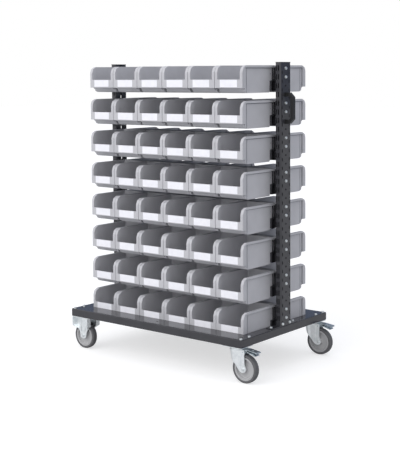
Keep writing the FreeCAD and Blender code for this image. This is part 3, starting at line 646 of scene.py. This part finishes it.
def top_plate():
    """Plate with rounded corners and four oblong holes, about the middle of its caster."""
    outline = rectangle([-half for half in PLATE_HALF], PLATE_HALF, TOP_CORNER)
    plate = traced("top_plate", outline, "Z", plate_foot, caster_top)
    for x in (-1, 1):
        for y in (-1, 1):
            spot = (x * BOLT_PATTERN[0], y * BOLT_PATTERN[1], plate_foot)
            combine(plate, slot_tool(spot, *OBLONG_HOLE, "X", "Z", 4 * PLATE_SHEET))
    return plate


race = turned("upper_race", [
    (0, plate_foot), (RACE_RADIUS, plate_foot), (RACE_RADIUS, RACE_SPLIT + MM),
    (RACE_RADIUS - MM, RACE_SPLIT + RACE_GAP / 2), (PIN_RADIUS, RACE_SPLIT + RACE_GAP / 2),
    (PIN_RADIUS, PIN_HEAD_TOP), (PIN_HEAD_RADIUS, PIN_HEAD_TOP), (PIN_HEAD_RADIUS, PIN_HEAD_FOOT),
    (0, PIN_HEAD_FOOT)], "Z", closed=False)
swivel_plate = soften(joined("swivel_plate", top_plate(), race), STEEL_EDGE)
swivel_places = {}
for end in ("front", "back"):
    pivot = middle(f"swivel_plate_{end}")
    wheel = middle(f"swivel_tyre_{end}") - pivot
    heading = Matrix.Rotation(math.atan2(wheel.y, wheel.x), 4, "Z")
    swivel_places[end] = Matrix.Translation((pivot.x, pivot.y, 0)) @ heading
    plate = twin(swivel_plate, f"swivel_plate_and_pin_{end}", Matrix.Translation((pivot.x, pivot.y, 0)))
    stands_for(plate, caster_steel, "zinc", "cart", f"swivel_plate_{end}")
bpy.data.objects.remove(swivel_plate)

# Swivel forks: pressed from thick sheet, flared round behind the wheel and flat along it, with a rib down
# each leg. The crown carries the lower race. Outlines are in millimetres, as x, height and corner radius.
FORK_SHEET = 3 * MM
FORK_GAP = 17 * MM
FORK_HALF = FORK_GAP + FORK_SHEET
FORK_REACH = 40 * MM
FORK_EDGE = 0.5 * MM
LEG_FOOT = 45 * MM
CROWN_TOP = 146 * MM
CROWN_FOOT = CROWN_TOP - FORK_SHEET
CROWN_RADIUS = 33 * MM
CROWN_NECK = 20 * MM
PIN_PLAY = 0.1 * MM
TRAIL = 44 * MM
WHEEL_RADIUS = 62.5 * MM
FLARE = [(61, 20), (9, 20), (0, 25.5), (-9, 30), (-18, 27.4), (-26, 20), (-31, 10.5), (-33, 0)]
FLARE_START = 9 * MM
FLARE_FOOT = 60 * MM
FLARE_TAPER = (0.66, 0.72, 1)
FORK_SIDE = [(-34, 146), (-34, 123), (-27, 117, 6), (20, 56), (32, 48, 6), (44, 47, 8), (54, 52, 8),
             (59, 66, 6), (50, 84, 8), (50, 146, 3)]
RIB = [(10, 138, 4), (10, 78, 4), (26, 60, 5), (31, 62, 3), (31, 138, 4)]
RIB_RISE = 1.3 * MM
RIB_EDGE = 1 * MM


def scaled(corners):
    """Outline in millimetres turned into metres."""
    return [tuple(value * MM for value in corner) for corner in corners]


def raised_rib(outline, side):
    """Rib that stands out of a fork's leg on one side."""
    low, high = sorted((side * (FORK_HALF - MM), side * (FORK_HALF + RIB_RISE)))
    return soften(traced("rib", outline, "Y", low, high), RIB_EDGE)


def swivel_fork():
    """Fork with its crown and ribs, its king pin at the origin and its wheel ahead."""
    plan = FLARE + [(x, -y) for x, y in FLARE[-2::-1]]
    fork = drawn("swivel_fork", [Vector((x * MM, -y * MM, CROWN_TOP)) for x, y in plan])
    bpy.ops.mesh.select_all(action="SELECT")
    bpy.ops.mesh.extrude_edges_move(TRANSFORM_OT_translate={"value": (0, 0, FLARE_FOOT - CROWN_TOP)})
    pick("verts", lambda p: p.x < FLARE_START - CLOSE and p.z < CROWN_TOP - MM)
    bpy.ops.transform.resize(value=FLARE_TAPER, center_override=(FLARE_START, 0, 0))
    bpy.ops.mesh.select_all(action="SELECT")
    bpy.ops.mesh.normals_make_consistent(inside=False)
    pick("edges", lambda p: near(p.z, FLARE_FOOT) and p.x > FLARE_START - CLOSE)
    bpy.ops.mesh.extrude_edges_move(TRANSFORM_OT_translate={"value": (0, 0, LEG_FOOT - FLARE_FOOT)})
    thickened(fork, FORK_SHEET)
    combine(fork, traced("outline", scaled(FORK_SIDE), "Y", -FORK_REACH, FORK_REACH), "INTERSECT")
    race_top = RACE_SPLIT - RACE_GAP / 2
    crown = turned("crown", [
        (PIN_RADIUS + PIN_PLAY, CROWN_FOOT), (PIN_RADIUS + PIN_PLAY, CROWN_TOP), (CROWN_NECK, CROWN_TOP),
        (CROWN_NECK, race_top), (RACE_RADIUS - MM, race_top), (RACE_RADIUS, RACE_SPLIT - MM),
        (RACE_RADIUS, CROWN_TOP), (CROWN_RADIUS - MM, CROWN_TOP), (CROWN_RADIUS, CROWN_TOP - MM),
        (CROWN_RADIUS, CROWN_FOOT)], "Z")
    ribs = [raised_rib(scaled(RIB), side) for side in (-1, 1)]
    return soften(joined("swivel_fork", fork, crown, *ribs), FORK_EDGE)


swivel_fork_steel = swivel_fork()
for end, place in swivel_places.items():
    fork = twin(swivel_fork_steel, f"swivel_fork_pressed_{end}", place)
    stands_for(fork, caster_steel, "caster_steel", f"swivel_{end}", f"swivel_fork_{end}")
bpy.data.objects.remove(swivel_fork_steel)

# Fixed forks: the same zinc plated sheet, its plate bent down into two tapered legs with flanges turned
# out along their edges. The flanges narrow towards the foot. Outlines are in millimetres again.
LEG_EDGE = [(50, 155), (50, 112), (31.6, 95)]
FIXED_SIDE = [(50, 155), (50, 112, 6), (24, 88, 8), (17, 56, 6), (8, 49, 6), (-8, 49, 6), (-17, 56, 6),
              (-24, 88, 8), (-50, 112, 6), (-50, 155)]
FIXED_RIB = [(-36, 146, 4), (-36, 120, 6), (-12, 84, 5), (-9, 84, 3), (-9, 146, 4)]
FLANGE_BEND = 4 * MM
FLANGE_CUT = [(20, 94), (60, 94), (60, 112), (42.5, 112)]
FLANGE_CUT_REACH = 60 * MM


def fixed_fork():
    """Fork and plate in one, about the middle of its wheel."""
    parts = [top_plate()]
    for side in (-1, 1):
        low, high = sorted((side * FORK_GAP, side * FORK_HALF))
        parts.append(traced("web", scaled(FIXED_SIDE), "Y", low, high))
        low, high = sorted((side * FORK_GAP, side * PLATE_HALF[1]))
        cut = [(side * y, z) for y, z in FLANGE_CUT]
        for edge in (-1, 1):
            parts.append(raised_rib(scaled([(edge * x, *rest) for x, *rest in FIXED_RIB]), side))
            outline = scaled([(edge * x, z) for x, z in LEG_EDGE])
            flange = folded("flange", outline, "Y", low, high, FORK_SHEET, FLANGE_BEND)
            combine(flange, traced("flange_cut", scaled(cut), "X", -FLANGE_CUT_REACH, FLANGE_CUT_REACH))
            parts.append(flange)
    return soften(joined("fixed_fork", *parts), FORK_EDGE)


fixed_fork_steel = fixed_fork()
for end in ("front", "back"):
    spot = middle(f"fixed_tyre_{end}")
    fork = twin(fixed_fork_steel, f"fixed_fork_pressed_{end}", Matrix.Translation((spot.x, spot.y, 0)))
    stands_for(fork, caster_steel, "zinc", "cart", f"fixed_fork_{end}")
bpy.data.objects.remove(fixed_fork_steel)

# Axles: a bolt through fork and rim with a hex head and washer at each side, zinc plated. The two kinds of
# caster have the same one.
AXLE_RADIUS = 4 * MM
shank = [(0, FORK_HALF), (AXLE_RADIUS, FORK_HALF), (AXLE_RADIUS, -FORK_HALF), (0, -FORK_HALF)]
parts = [turned("shank", shank, "Z", closed=False, steps=24)]
for degrees in (0, 180):
    flip = Matrix.Rotation(math.radians(degrees), 4, "X")
    head = hex_bolt("axle_head")
    head.data.transform(flip @ Matrix.Translation((0, 0, FORK_HALF)))
    parts.append(head)
axle = joined("axle", *parts)
axle.data.transform(Matrix.Rotation(math.radians(90), 4, "X"))
wheel_centre = Matrix.Translation((0, 0, WHEEL_RADIUS))
wheel_places = {}
for end in ("front", "back"):
    spot = middle(f"fixed_tyre_{end}")
    wheel_places["swivel", end] = swivel_places[end] @ Matrix.Translation((TRAIL, 0, 0)) @ wheel_centre
    wheel_places["fixed", end] = Matrix.Translation((spot.x, spot.y, 0)) @ wheel_centre
for (kind, end), place in wheel_places.items():
    bolt = twin(axle, f"{kind}_axle_bolt_{end}", place)
    if kind == "swivel":
        stands_for(bolt, zinc, "caster_steel", f"swivel_{end}", f"swivel_axle_{end}")
    else:
        stands_for(bolt, zinc, "zinc", "cart", f"fixed_axle_{end}")
bpy.data.objects.remove(axle)

# Wheel rims: moulded light grey polypropylene, a raised ring round a recessed disc with a hub boss. The
# profile is in millimetres, as radius and distance from the wheel's middle plane.
WHEEL_STEPS = 96
RIM_PROFILE = [(4.05, 16.7), (13, 16.7), (14, 15.7), (14, 6), (17, 3.5), (39, 2.5), (41, 5), (43, 12.5),
               (44, 13), (46.5, 13), (47.5, 12), (48, 11), (49, 11.5), (50, 12.8), (51, 12.8)]
RIM_EDGE = 0.3 * MM
RIM_DARK = "B2B2B3"
RIM_LIGHT = "BCBCBD"
RIM_ROUGHNESS = 0.45
RIM_GRAIN = 0.7 * MM
PLASTIC_CLOUD = 90 * MM
PLASTIC_RELIEF = 0.015 * MM


def wheel_part(name, profile, edge):
    """Profile mirrored to the wheel's other side and spun about its axle."""
    part = turned(name, scaled(profile + [(r, -y) for r, y in reversed(profile)]), "Y", steps=WHEEL_STEPS)
    return soften(part, edge, 1)


def moulded_plastic(name, dark, light, roughness, grain):
    """Moulded polypropylene: an even grey, satin from a finely grained mould."""
    material, tree, shader, places = new_material(name, IOR=1.49, Specular_IOR_Level=0.4)
    mottled(tree, shader, places, "Base Color", PLASTIC_CLOUD, dark, light)
    mottled(tree, shader, places, "Roughness", PLASTIC_CLOUD / 3, roughness, roughness + ROUGHNESS_SPREAD)
    dimpled(tree, shader, places, grain, PLASTIC_RELIEF)
    return material


rim = wheel_part("rim", RIM_PROFILE, RIM_EDGE)
rim_grey = moulded_plastic("grey_rim_polypropylene", RIM_DARK, RIM_LIGHT, RIM_ROUGHNESS, RIM_GRAIN)
for (kind, end), place in wheel_places.items():
    piece = twin(rim, f"{kind}_rim_moulded_{end}", place)
    stands_for(piece, rim_grey, "rim_plastic", f"{kind}_wheel_{end}", f"{kind}_rim_{end}")
bpy.data.objects.remove(rim)

# Tyres: grey rubber moulded round the rims, matt and softly clouded, with a fine grain. Their shoulders are
# rounded and their tread is slightly crowned.
TYRE_PROFILE = [(51, 12.8), (51.5, 13.4), (54, 14), (57, 14), (59, 13.7), (60.6, 12.6), (61.7, 10.6),
                (62.3, 7.5), (62.5, 3)]
TYRE_EDGE = 0.2 * MM
TYRE_DARK = "5E5E60"
TYRE_LIGHT = "6A6A6C"
TYRE_CLOUD = 12 * MM
TYRE_ROUGHNESS = (0.62, 0.78)
TYRE_GRAIN = 0.9 * MM
TYRE_RELIEF = 0.05 * MM
tyre = wheel_part("tyre", TYRE_PROFILE, TYRE_EDGE)
rubber, tree, shader, places = new_material("grey_tyre_rubber", Specular_IOR_Level=0.3)
mottled(tree, shader, places, "Base Color", TYRE_CLOUD, TYRE_DARK, TYRE_LIGHT)
mottled(tree, shader, places, "Roughness", TYRE_CLOUD / 2, *TYRE_ROUGHNESS)
dimpled(tree, shader, places, TYRE_GRAIN, TYRE_RELIEF)
for (kind, end), place in wheel_places.items():
    piece = twin(tyre, f"{kind}_tyre_moulded_{end}", place)
    stands_for(piece, rubber, "tyre_rubber", f"{kind}_wheel_{end}", f"{kind}_tyre_{end}")
bpy.data.objects.remove(tyre)

# Brake pedals: two pressed levers and their side ears on one pin, with a shoe above the tyre. They are
# zinc plated, coloured darker and bluer than the forks as painted shade and painted reflection. Outlines are
# in millimetres.
PEDAL_HALF = 16 * MM
PEDAL_SHEET = 3 * MM
PEDAL_PIVOT = (42 * MM, 137 * MM)
PEDAL_PIN_RADIUS = 3 * MM
PEDAL_PIN_EDGE = 0.3 * MM
PEDAL_PIN_END = 0.5 * MM
UPPER_LEVER = [(35, 150.5), (58, 150.5, 6), (110, 143.5, 2), (114, 139, 1.5), (110.5, 137.3, 1),
               (104, 141, 3), (58, 147.5, 6), (35, 147.5)]
LOWER_LEVER = [(52, 143), (58, 143, 3), (103, 131, 2), (107, 127, 1.5), (103, 126, 1), (58, 139.4, 3),
               (52, 139.4)]
EAR = [(35, 150), (60, 150, 4), (62, 139, 4), (54, 138), (50, 127, 2), (38, 131, 2), (35, 137, 2)]
SHOE = [(38, 131), (50, 127), (51.5, 131), (39, 135)]
WINDOW = (12 * MM, 9 * MM)
WINDOW_SPOT = (84 * MM, 0, 144 * MM)
WINDOW_DEPTH = 30 * MM
# Darker and bluer than the forks' zinc: painted shade and painted reflection of the bluish room.
PEDAL_DARK = "A9B4BA"
PEDAL_LIGHT = "C2CCD1"
PEDAL_ROUGHNESS = 0.3
PEDAL_GRAIN = 10 * MM
levers = (("upper_lever", UPPER_LEVER), ("lower_lever", LOWER_LEVER), ("shoe", SHOE))
pedal_parts = [traced(name, scaled(outline), "Y", -PEDAL_HALF, PEDAL_HALF) for name, outline in levers]
combine(pedal_parts[0], slot_tool(WINDOW_SPOT, *WINDOW, "X", "Z", WINDOW_DEPTH))
for side in (-1, 1):
    low, high = sorted((side * PEDAL_HALF, side * (PEDAL_HALF - PEDAL_SHEET)))
    pedal_parts.append(traced("ear", scaled(EAR), "Y", low, high))
pin_half = FORK_HALF + PEDAL_PIN_END
pin_end = PEDAL_PIN_RADIUS - PEDAL_PIN_EDGE
pin = turned("pedal_pin", [(0, pin_half), (pin_end, pin_half), (PEDAL_PIN_RADIUS, pin_half - MM),
                           (PEDAL_PIN_RADIUS, MM - pin_half), (pin_end, -pin_half), (0, -pin_half)],
             "Y", closed=False, steps=24)
pin.data.transform(Matrix.Translation((PEDAL_PIVOT[0], 0, PEDAL_PIVOT[1])))
pedal = soften(joined("pedal", pin, *pedal_parts), FORK_EDGE)
pedal_steel = zinc_plate("zinc_pedal_with_painted_shade", PEDAL_DARK, PEDAL_LIGHT, PEDAL_ROUGHNESS, PEDAL_GRAIN)
for end, place in swivel_places.items():
    piece = twin(pedal, f"brake_pedal_pressed_{end}", place)
    stands_for(piece, pedal_steel, "caster_steel", f"pedal_{end}", f"brake_pedal_{end}")
bpy.data.objects.remove(pedal)

# Bins: moulded grey polypropylene, open at the front above a label panel, with grooves behind the cheeks
# and a hook at the back for the rail's lip. Sizes are in millimetres from the middle of the front's foot:
# outlines are depth, height and corner radius, plans are across, depth and corner radius.
BIN_HALF = 75.4
BIN_BODY_HALF = 68.6
GROOVE_HALF = 66.8
MOUTH_HALF = 61.5
TOE_HALF = 62.8
OUTSIDE = 90
ABOVE = 130
BIN_SIDE = [(0, 22, 1.5), (8, 22), (38, 0, 8), (211, 0, 5), (211, 53, 3), (228, 53, 3), (228, 112),
            (232.5, 112), (232.5, 57), (242, 57, 2), (242, 120, 3), (28, 120, 3), (8, 110, 3), (0, 90, 3)]
BIN_PLAN = [(-BIN_HALF, 0, 3), (BIN_HALF, 0, 3), (BIN_HALF, 250), (-BIN_HALF, 250)]
BIN_CAVITY = [(28, 9.5), (37.6, 2.5, 8), (208.5, 2.5, 6), (208.5, 55.5, 4), (225.5, 55.5, 5),
              (225.5, ABOVE), (28, ABOVE)]
CAVITY_PLAN = [(-65.5, 20, 4), (65.5, 20, 4), (65.5, 225.5, 8), (-65.5, 225.5, 8)]
BIN_MOUTH = [(2.5, 24.5, 1), (8.5, 24.5, 1), (34, 6), (34, ABOVE), (-5, ABOVE), (-5, 59), (2.5, 59)]
SIDE_RECESS = [(-5, -5), (250, -5), (250, 110), (22, 110), (22, 22), (-5, 22)]
RIM_GROOVE = [(22, 106.5), (250, 106.5), (250, 110), (22, 110)]
SIDE_GROOVES = ((22, 26.5), (36, 40.5))
SIDE_GROOVE_TOP = 107
TOE_CORNER = [(-5, -5), (26, -5), (26, 22), (-5, 22)]
SIDE_HOLE = (219, 82)
SIDE_HOLE_RADIUS = 3.2
SIDEWAYS = 0.9
BIN_EDGE = 0.6 * MM
BIN_DARK = "BDBDC1"
BIN_LIGHT = "C6C6CA"
BIN_ROUGHNESS = 0.42
# Darker grey for the ground of the grooves in the bins' sides: painted shade, where shade falls into the
# grooves.
GROOVE_SHADE_DARK = "84878F"
GROOVE_SHADE_LIGHT = "8C8F97"
GROOVE_ROUGHNESS = 0.5
BIN_GRAIN = 0.5 * MM
COLUMNS = 6
LOWER_BACK_ROWS = 4


def sides(name, corners, inner, outer):
    """The same outline drawn out on both sides, from an inner to an outer distance."""
    return joined(name, *[traced(name, scaled(corners), "X", *sorted((side * inner * MM, side * outer * MM)))
                          for side in (-1, 1)])


def storage_bin():
    """Bin with its front at the origin's depth: a block cut by plan, recesses, grooves, cavity and mouth."""
    piece = traced("storage_bin", scaled(BIN_SIDE), "X", -BIN_HALF * MM, BIN_HALF * MM)
    combine(piece, traced("plan", scaled(BIN_PLAN), "Z", -MM, ABOVE * MM), "INTERSECT")
    combine(piece, sides("recess", SIDE_RECESS, BIN_BODY_HALF, OUTSIDE))
    combine(piece, sides("rim_groove", RIM_GROOVE, GROOVE_HALF, OUTSIDE))
    combine(piece, sides("toe_corner", TOE_CORNER, TOE_HALF, OUTSIDE))
    for low, high in SIDE_GROOVES:
        groove = [(low, -5), (high, -5), (high, SIDE_GROOVE_TOP), (low, SIDE_GROOVE_TOP)]
        combine(piece, sides("side_groove", groove, GROOVE_HALF, OUTSIDE))
    cavity = traced("cavity", scaled(BIN_CAVITY), "X", -BIN_HALF * MM, BIN_HALF * MM)
    combine(cavity, traced("plan", scaled(CAVITY_PLAN), "Z", -MM, (ABOVE + 10) * MM), "INTERSECT")
    combine(piece, cavity)
    combine(piece, traced("mouth", scaled(BIN_MOUTH), "X", -MOUTH_HALF * MM, MOUTH_HALF * MM))
    for side in (-1, 1):
        near_x, far_x = sorted((side * GROOVE_HALF, side * OUTSIDE))
        profile = [(0, far_x), (SIDE_HOLE_RADIUS, far_x), (SIDE_HOLE_RADIUS, near_x), (0, near_x)]
        hole = turned("hole", scaled(profile), "X", closed=False, steps=16)
        hole.data.transform(Matrix.Translation((0, SIDE_HOLE[0] * MM, SIDE_HOLE[1] * MM)))
        combine(piece, hole)
    return soften(piece, BIN_EDGE)


def in_a_groove(face):
    """Is this face the ground of a groove in a bin's side?"""
    return abs(abs(face.center.x) - GROOVE_HALF * MM) < CLOSE and abs(face.normal.x) > SIDEWAYS


bin_grey = moulded_plastic("grey_bin_polypropylene", BIN_DARK, BIN_LIGHT, BIN_ROUGHNESS, BIN_GRAIN)
# The second material is the bins' grey darkened as painted shade for the grooves.
painted_groove_shade = moulded_plastic("grey_bin_polypropylene_painted_groove_shade", GROOVE_SHADE_DARK, GROOVE_SHADE_LIGHT,
                              GROOVE_ROUGHNESS, BIN_GRAIN)
storage = storage_bin()
# Faces on the grooves' ground are marked for the darker grey of painted shade.
groove_shade_index = [int(in_a_groove(face)) for face in storage.data.polygons]
first_low, first_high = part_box("bin_top_front_1")
bin_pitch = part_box("bin_top_front_2")[0].x - first_low.x
bin_x = (first_low.x + first_high.x) / 2
for row in range(1, ROWS + 1):
    foot = first_low.z - (row - 1) * ROW_PITCH
    back_node = "bins_back_upper" if row <= ROWS - LOWER_BACK_ROWS else "bins_back_lower"
    for column in range(1, COLUMNS + 1):
        spot = Matrix.Translation((bin_x + (column - 1) * bin_pitch, first_low.y, foot))
        front = twin(storage, f"bin_front_{row}_{column}", spot)
        if row == 1:
            stands_for(front, bin_grey, "bin_plastic", f"bin_{column}", f"bin_top_front_{column}")
        else:
            stands_for(front, bin_grey, "bin_plastic", "cart", f"bins_front_row_{row}")
        back = twin(storage, f"bin_back_{row}_{column}", about(base_centre) @ spot)
        stands_for(back, bin_grey, "bin_plastic", "cart", back_node)
        for piece in (front, back):
            piece.data.materials.append(painted_groove_shade)
            piece.data.polygons.foreach_set("material_index", groove_shade_index)
bpy.data.objects.remove(storage)

# Label cards: blank white paper cards on the bins' panels, matt and faintly clouded as uncoated card is.
# Each bin has its own, and those of the top front row lift with their bins.
CARD_HALF = 46.5 * MM
CARD_EDGE = 0.5 * MM
CARD_CORNER = 1.5 * MM
CARD_DARK = "F0F0F6"
CARD_LIGHT = "F7F7FC"
CARD_CLOUD = 25 * MM
CARD_ROUGHNESS = (0.5, 0.6)
card_low, card_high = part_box("label_card_1")
card_middle = (card_low.x + card_high.x) / 2

card_white, tree, shader, places = new_material("white_label_card", Specular_IOR_Level=0.3)
mottled(tree, shader, places, "Base Color", CARD_CLOUD, CARD_DARK, CARD_LIGHT)
mottled(tree, shader, places, "Roughness", 0.4 * CARD_CLOUD, *CARD_ROUGHNESS)
card_outline = rectangle((card_middle - CARD_HALF, card_low.z + CARD_EDGE),
                         (card_middle + CARD_HALF, card_high.z - CARD_EDGE), CARD_CORNER)
card = traced("label_card", card_outline, "Y", card_low.y, card_high.y)
for row in range(1, ROWS + 1):
    for column in range(1, COLUMNS + 1):
        spot = Matrix.Translation(((column - 1) * bin_pitch, 0, (1 - row) * ROW_PITCH))
        front = twin(card, f"label_card_front_{row}_{column}", spot)
        if row == 1:
            stands_for(front, card_white, "card", f"bin_{column}", f"label_card_{column}")
        else:
            stands_for(front, card_white, "card", "cart", "label_cards_front")
        back = twin(card, f"label_card_back_{row}_{column}", about(base_centre) @ spot)
        stands_for(back, card_white, "card", "cart", "label_cards_back")
bpy.data.objects.remove(card)

# Grab handle: black glass-filled nylon with chamfered corners, on the right post's outer face. Two zinc
# plated screws from inside the post hold it. The outline is in millimetres from the post and its middle.
HANDLE_BOW = [(0, 69), (25, 69, 1.5), (45, 49, 1.5), (45, -49, 1.5), (25, -69, 1.5), (0, -69), (0, -51),
              (22, -51, 1.5), (29, -44, 1.5), (29, 44, 1.5), (22, 51, 1.5), (0, 51)]
HANDLE_HALF_WIDTH = 9 * MM
HANDLE_EDGE = 0.9 * MM
HANDLE_DARK = "0E0E0F"
HANDLE_LIGHT = "161617"
HANDLE_GRAIN = 0.9 * MM
handle_low, handle_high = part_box("handle")

handle = traced("grab_handle", scaled(HANDLE_BOW), "Y", -HANDLE_HALF_WIDTH, HANDLE_HALF_WIDTH)
handle.data.transform(Matrix.Translation((handle_low.x, 0, (handle_low.z + handle_high.z) / 2)))
soften(handle, HANDLE_EDGE, 3)
grip_black = black_plastic("black_glass_filled_nylon", HANDLE_GRAIN, HANDLE_DARK, HANDLE_LIGHT)
stands_for(handle, grip_black, "grip", "cart", "handle")
finished("handle_screws", zinc)

# Studio floor: painted white. It glows just enough, for the camera and for reflections only, to clip to
# white away from the cart and to keep the cart's soft shadow.
FLOOR_HALF = 30
FLOOR_GREY = "C4C4C4"
FLOOR_GLOW = 0.59
FLOOR_SHEEN = 0.22
WHITE = (1, 1, 1, 1)

let_go()
bpy.ops.mesh.primitive_plane_add(size=1)
floor = start("studio_floor", (2 * FLOOR_HALF, 2 * FLOOR_HALF, 1))
let_go()
floor_white, tree, shader, places = new_material("white_studio_floor", Roughness=0.9, Specular_IOR_Level=0)
shader.inputs["Base Color"].default_value = linear(FLOOR_GREY)
path = node(tree, "LightPath")
seen = node(tree, "Math", {0: path.outputs["Is Camera Ray"], 1: FLOOR_GLOW}, operation="MULTIPLY")
mirrored = node(tree, "Math", {0: path.outputs["Is Glossy Ray"], 1: FLOOR_SHEEN}, operation="MULTIPLY")
glow = node(tree, "Math", {0: seen.outputs[0], 1: mirrored.outputs[0]}, operation="ADD")
tree.links.new(glow.outputs[0], shader.inputs["Emission Strength"])
shader.inputs["Emission Color"].default_value = WHITE
floor.data.materials.append(floor_white)

# Studio walls: bright in front of the cart, dim and bluish behind it and white above it. The camera itself
# sees plain white.
STUDIO_FRONT = (1.1, 1.1, 1.12, 1)
STUDIO_BACK = (0.17, 0.21, 0.31, 1)
STUDIO_ABOVE = (0.95, 0.96, 1.0, 1)
FADE_BACK = (-0.5, 0.7)
FADE_ABOVE = (0.35, 0.9)

world = bpy.data.worlds.new("studio")
bpy.context.scene.world = world
world.use_nodes = True
tree = world.node_tree
background = tree.nodes["Background"]
toward = node(tree, "SeparateXYZ", {"Vector": node(tree, "TexCoord").outputs["Generated"]})
behind, above = [
    node(tree, "MapRange", {"Value": toward.outputs[axis], "From Min": fade[0], "From Max": fade[1]})
    for axis, fade in (("Y", FADE_BACK), ("Z", FADE_ABOVE))]


def mixed(level, first, second):
    """Blend of two colours by a level from 0 to 1."""
    return node(tree, "MixRGB", {"Fac": level, "Color1": first, "Color2": second}).outputs[0]


walls = mixed(behind.outputs["Result"], STUDIO_FRONT, STUDIO_BACK)
room = mixed(above.outputs["Result"], walls, STUDIO_ABOVE)
seen = mixed(node(tree, "LightPath").outputs["Is Camera Ray"], room, WHITE)
tree.links.new(seen, background.inputs["Color"])

# Key light: one large square softbox in front of the cart and above it, which gives the bins' fronts their
# brightness and the floor its soft shadow.
KEY_SPOT = Vector((-0.6, -5.4, 4.2))
KEY_TARGET = Vector((0, 0, 0.7))
KEY_SIZE = 5
KEY_POWER = 115

lamp = bpy.data.lights.new("key_light", "AREA")
lamp.shape = "SQUARE"
lamp.size = KEY_SIZE
lamp.energy = KEY_POWER
key = bpy.data.objects.new("key_light", lamp)
key.location = KEY_SPOT
key.rotation_euler = (KEY_TARGET - KEY_SPOT).to_track_quat("-Z", "Y").to_euler()
bpy.context.scene.collection.objects.link(key)

# Camera: its lens, place and turn were solved from the photo's perspective, so that the render lines up with
# it. The shift sets the cart's height in the picture.
LENS = 84.182
SENSOR = 36
FAR = 100
CAMERA_SPOT = (3.1126, -3.8546, 1.324)
YAW = math.radians(38.954)
DOWN = math.radians(4.077)
ROLL = math.radians(-0.411)
SHIFT = -0.17
ahead = Vector((-math.sin(YAW) * math.cos(DOWN), math.cos(YAW) * math.cos(DOWN), -math.sin(DOWN)))
level_right = Vector((math.cos(YAW), math.sin(YAW), 0))
level_up = level_right.cross(ahead)
right = math.cos(ROLL) * level_right + math.sin(ROLL) * level_up
upright = math.cos(ROLL) * level_up - math.sin(ROLL) * level_right
lens = bpy.data.cameras.new("camera")
lens.lens = LENS
lens.sensor_width = SENSOR
lens.shift_y = SHIFT
lens.clip_end = FAR
camera = bpy.data.objects.new("camera", lens)
turn = Matrix((right, upright, -ahead)).transposed().to_4x4()
camera.matrix_world = Matrix.Translation(CAMERA_SPOT) @ turn
bpy.context.scene.collection.objects.link(camera)
bpy.context.scene.camera = camera
bpy.context.scene.view_settings.view_transform = "Standard"
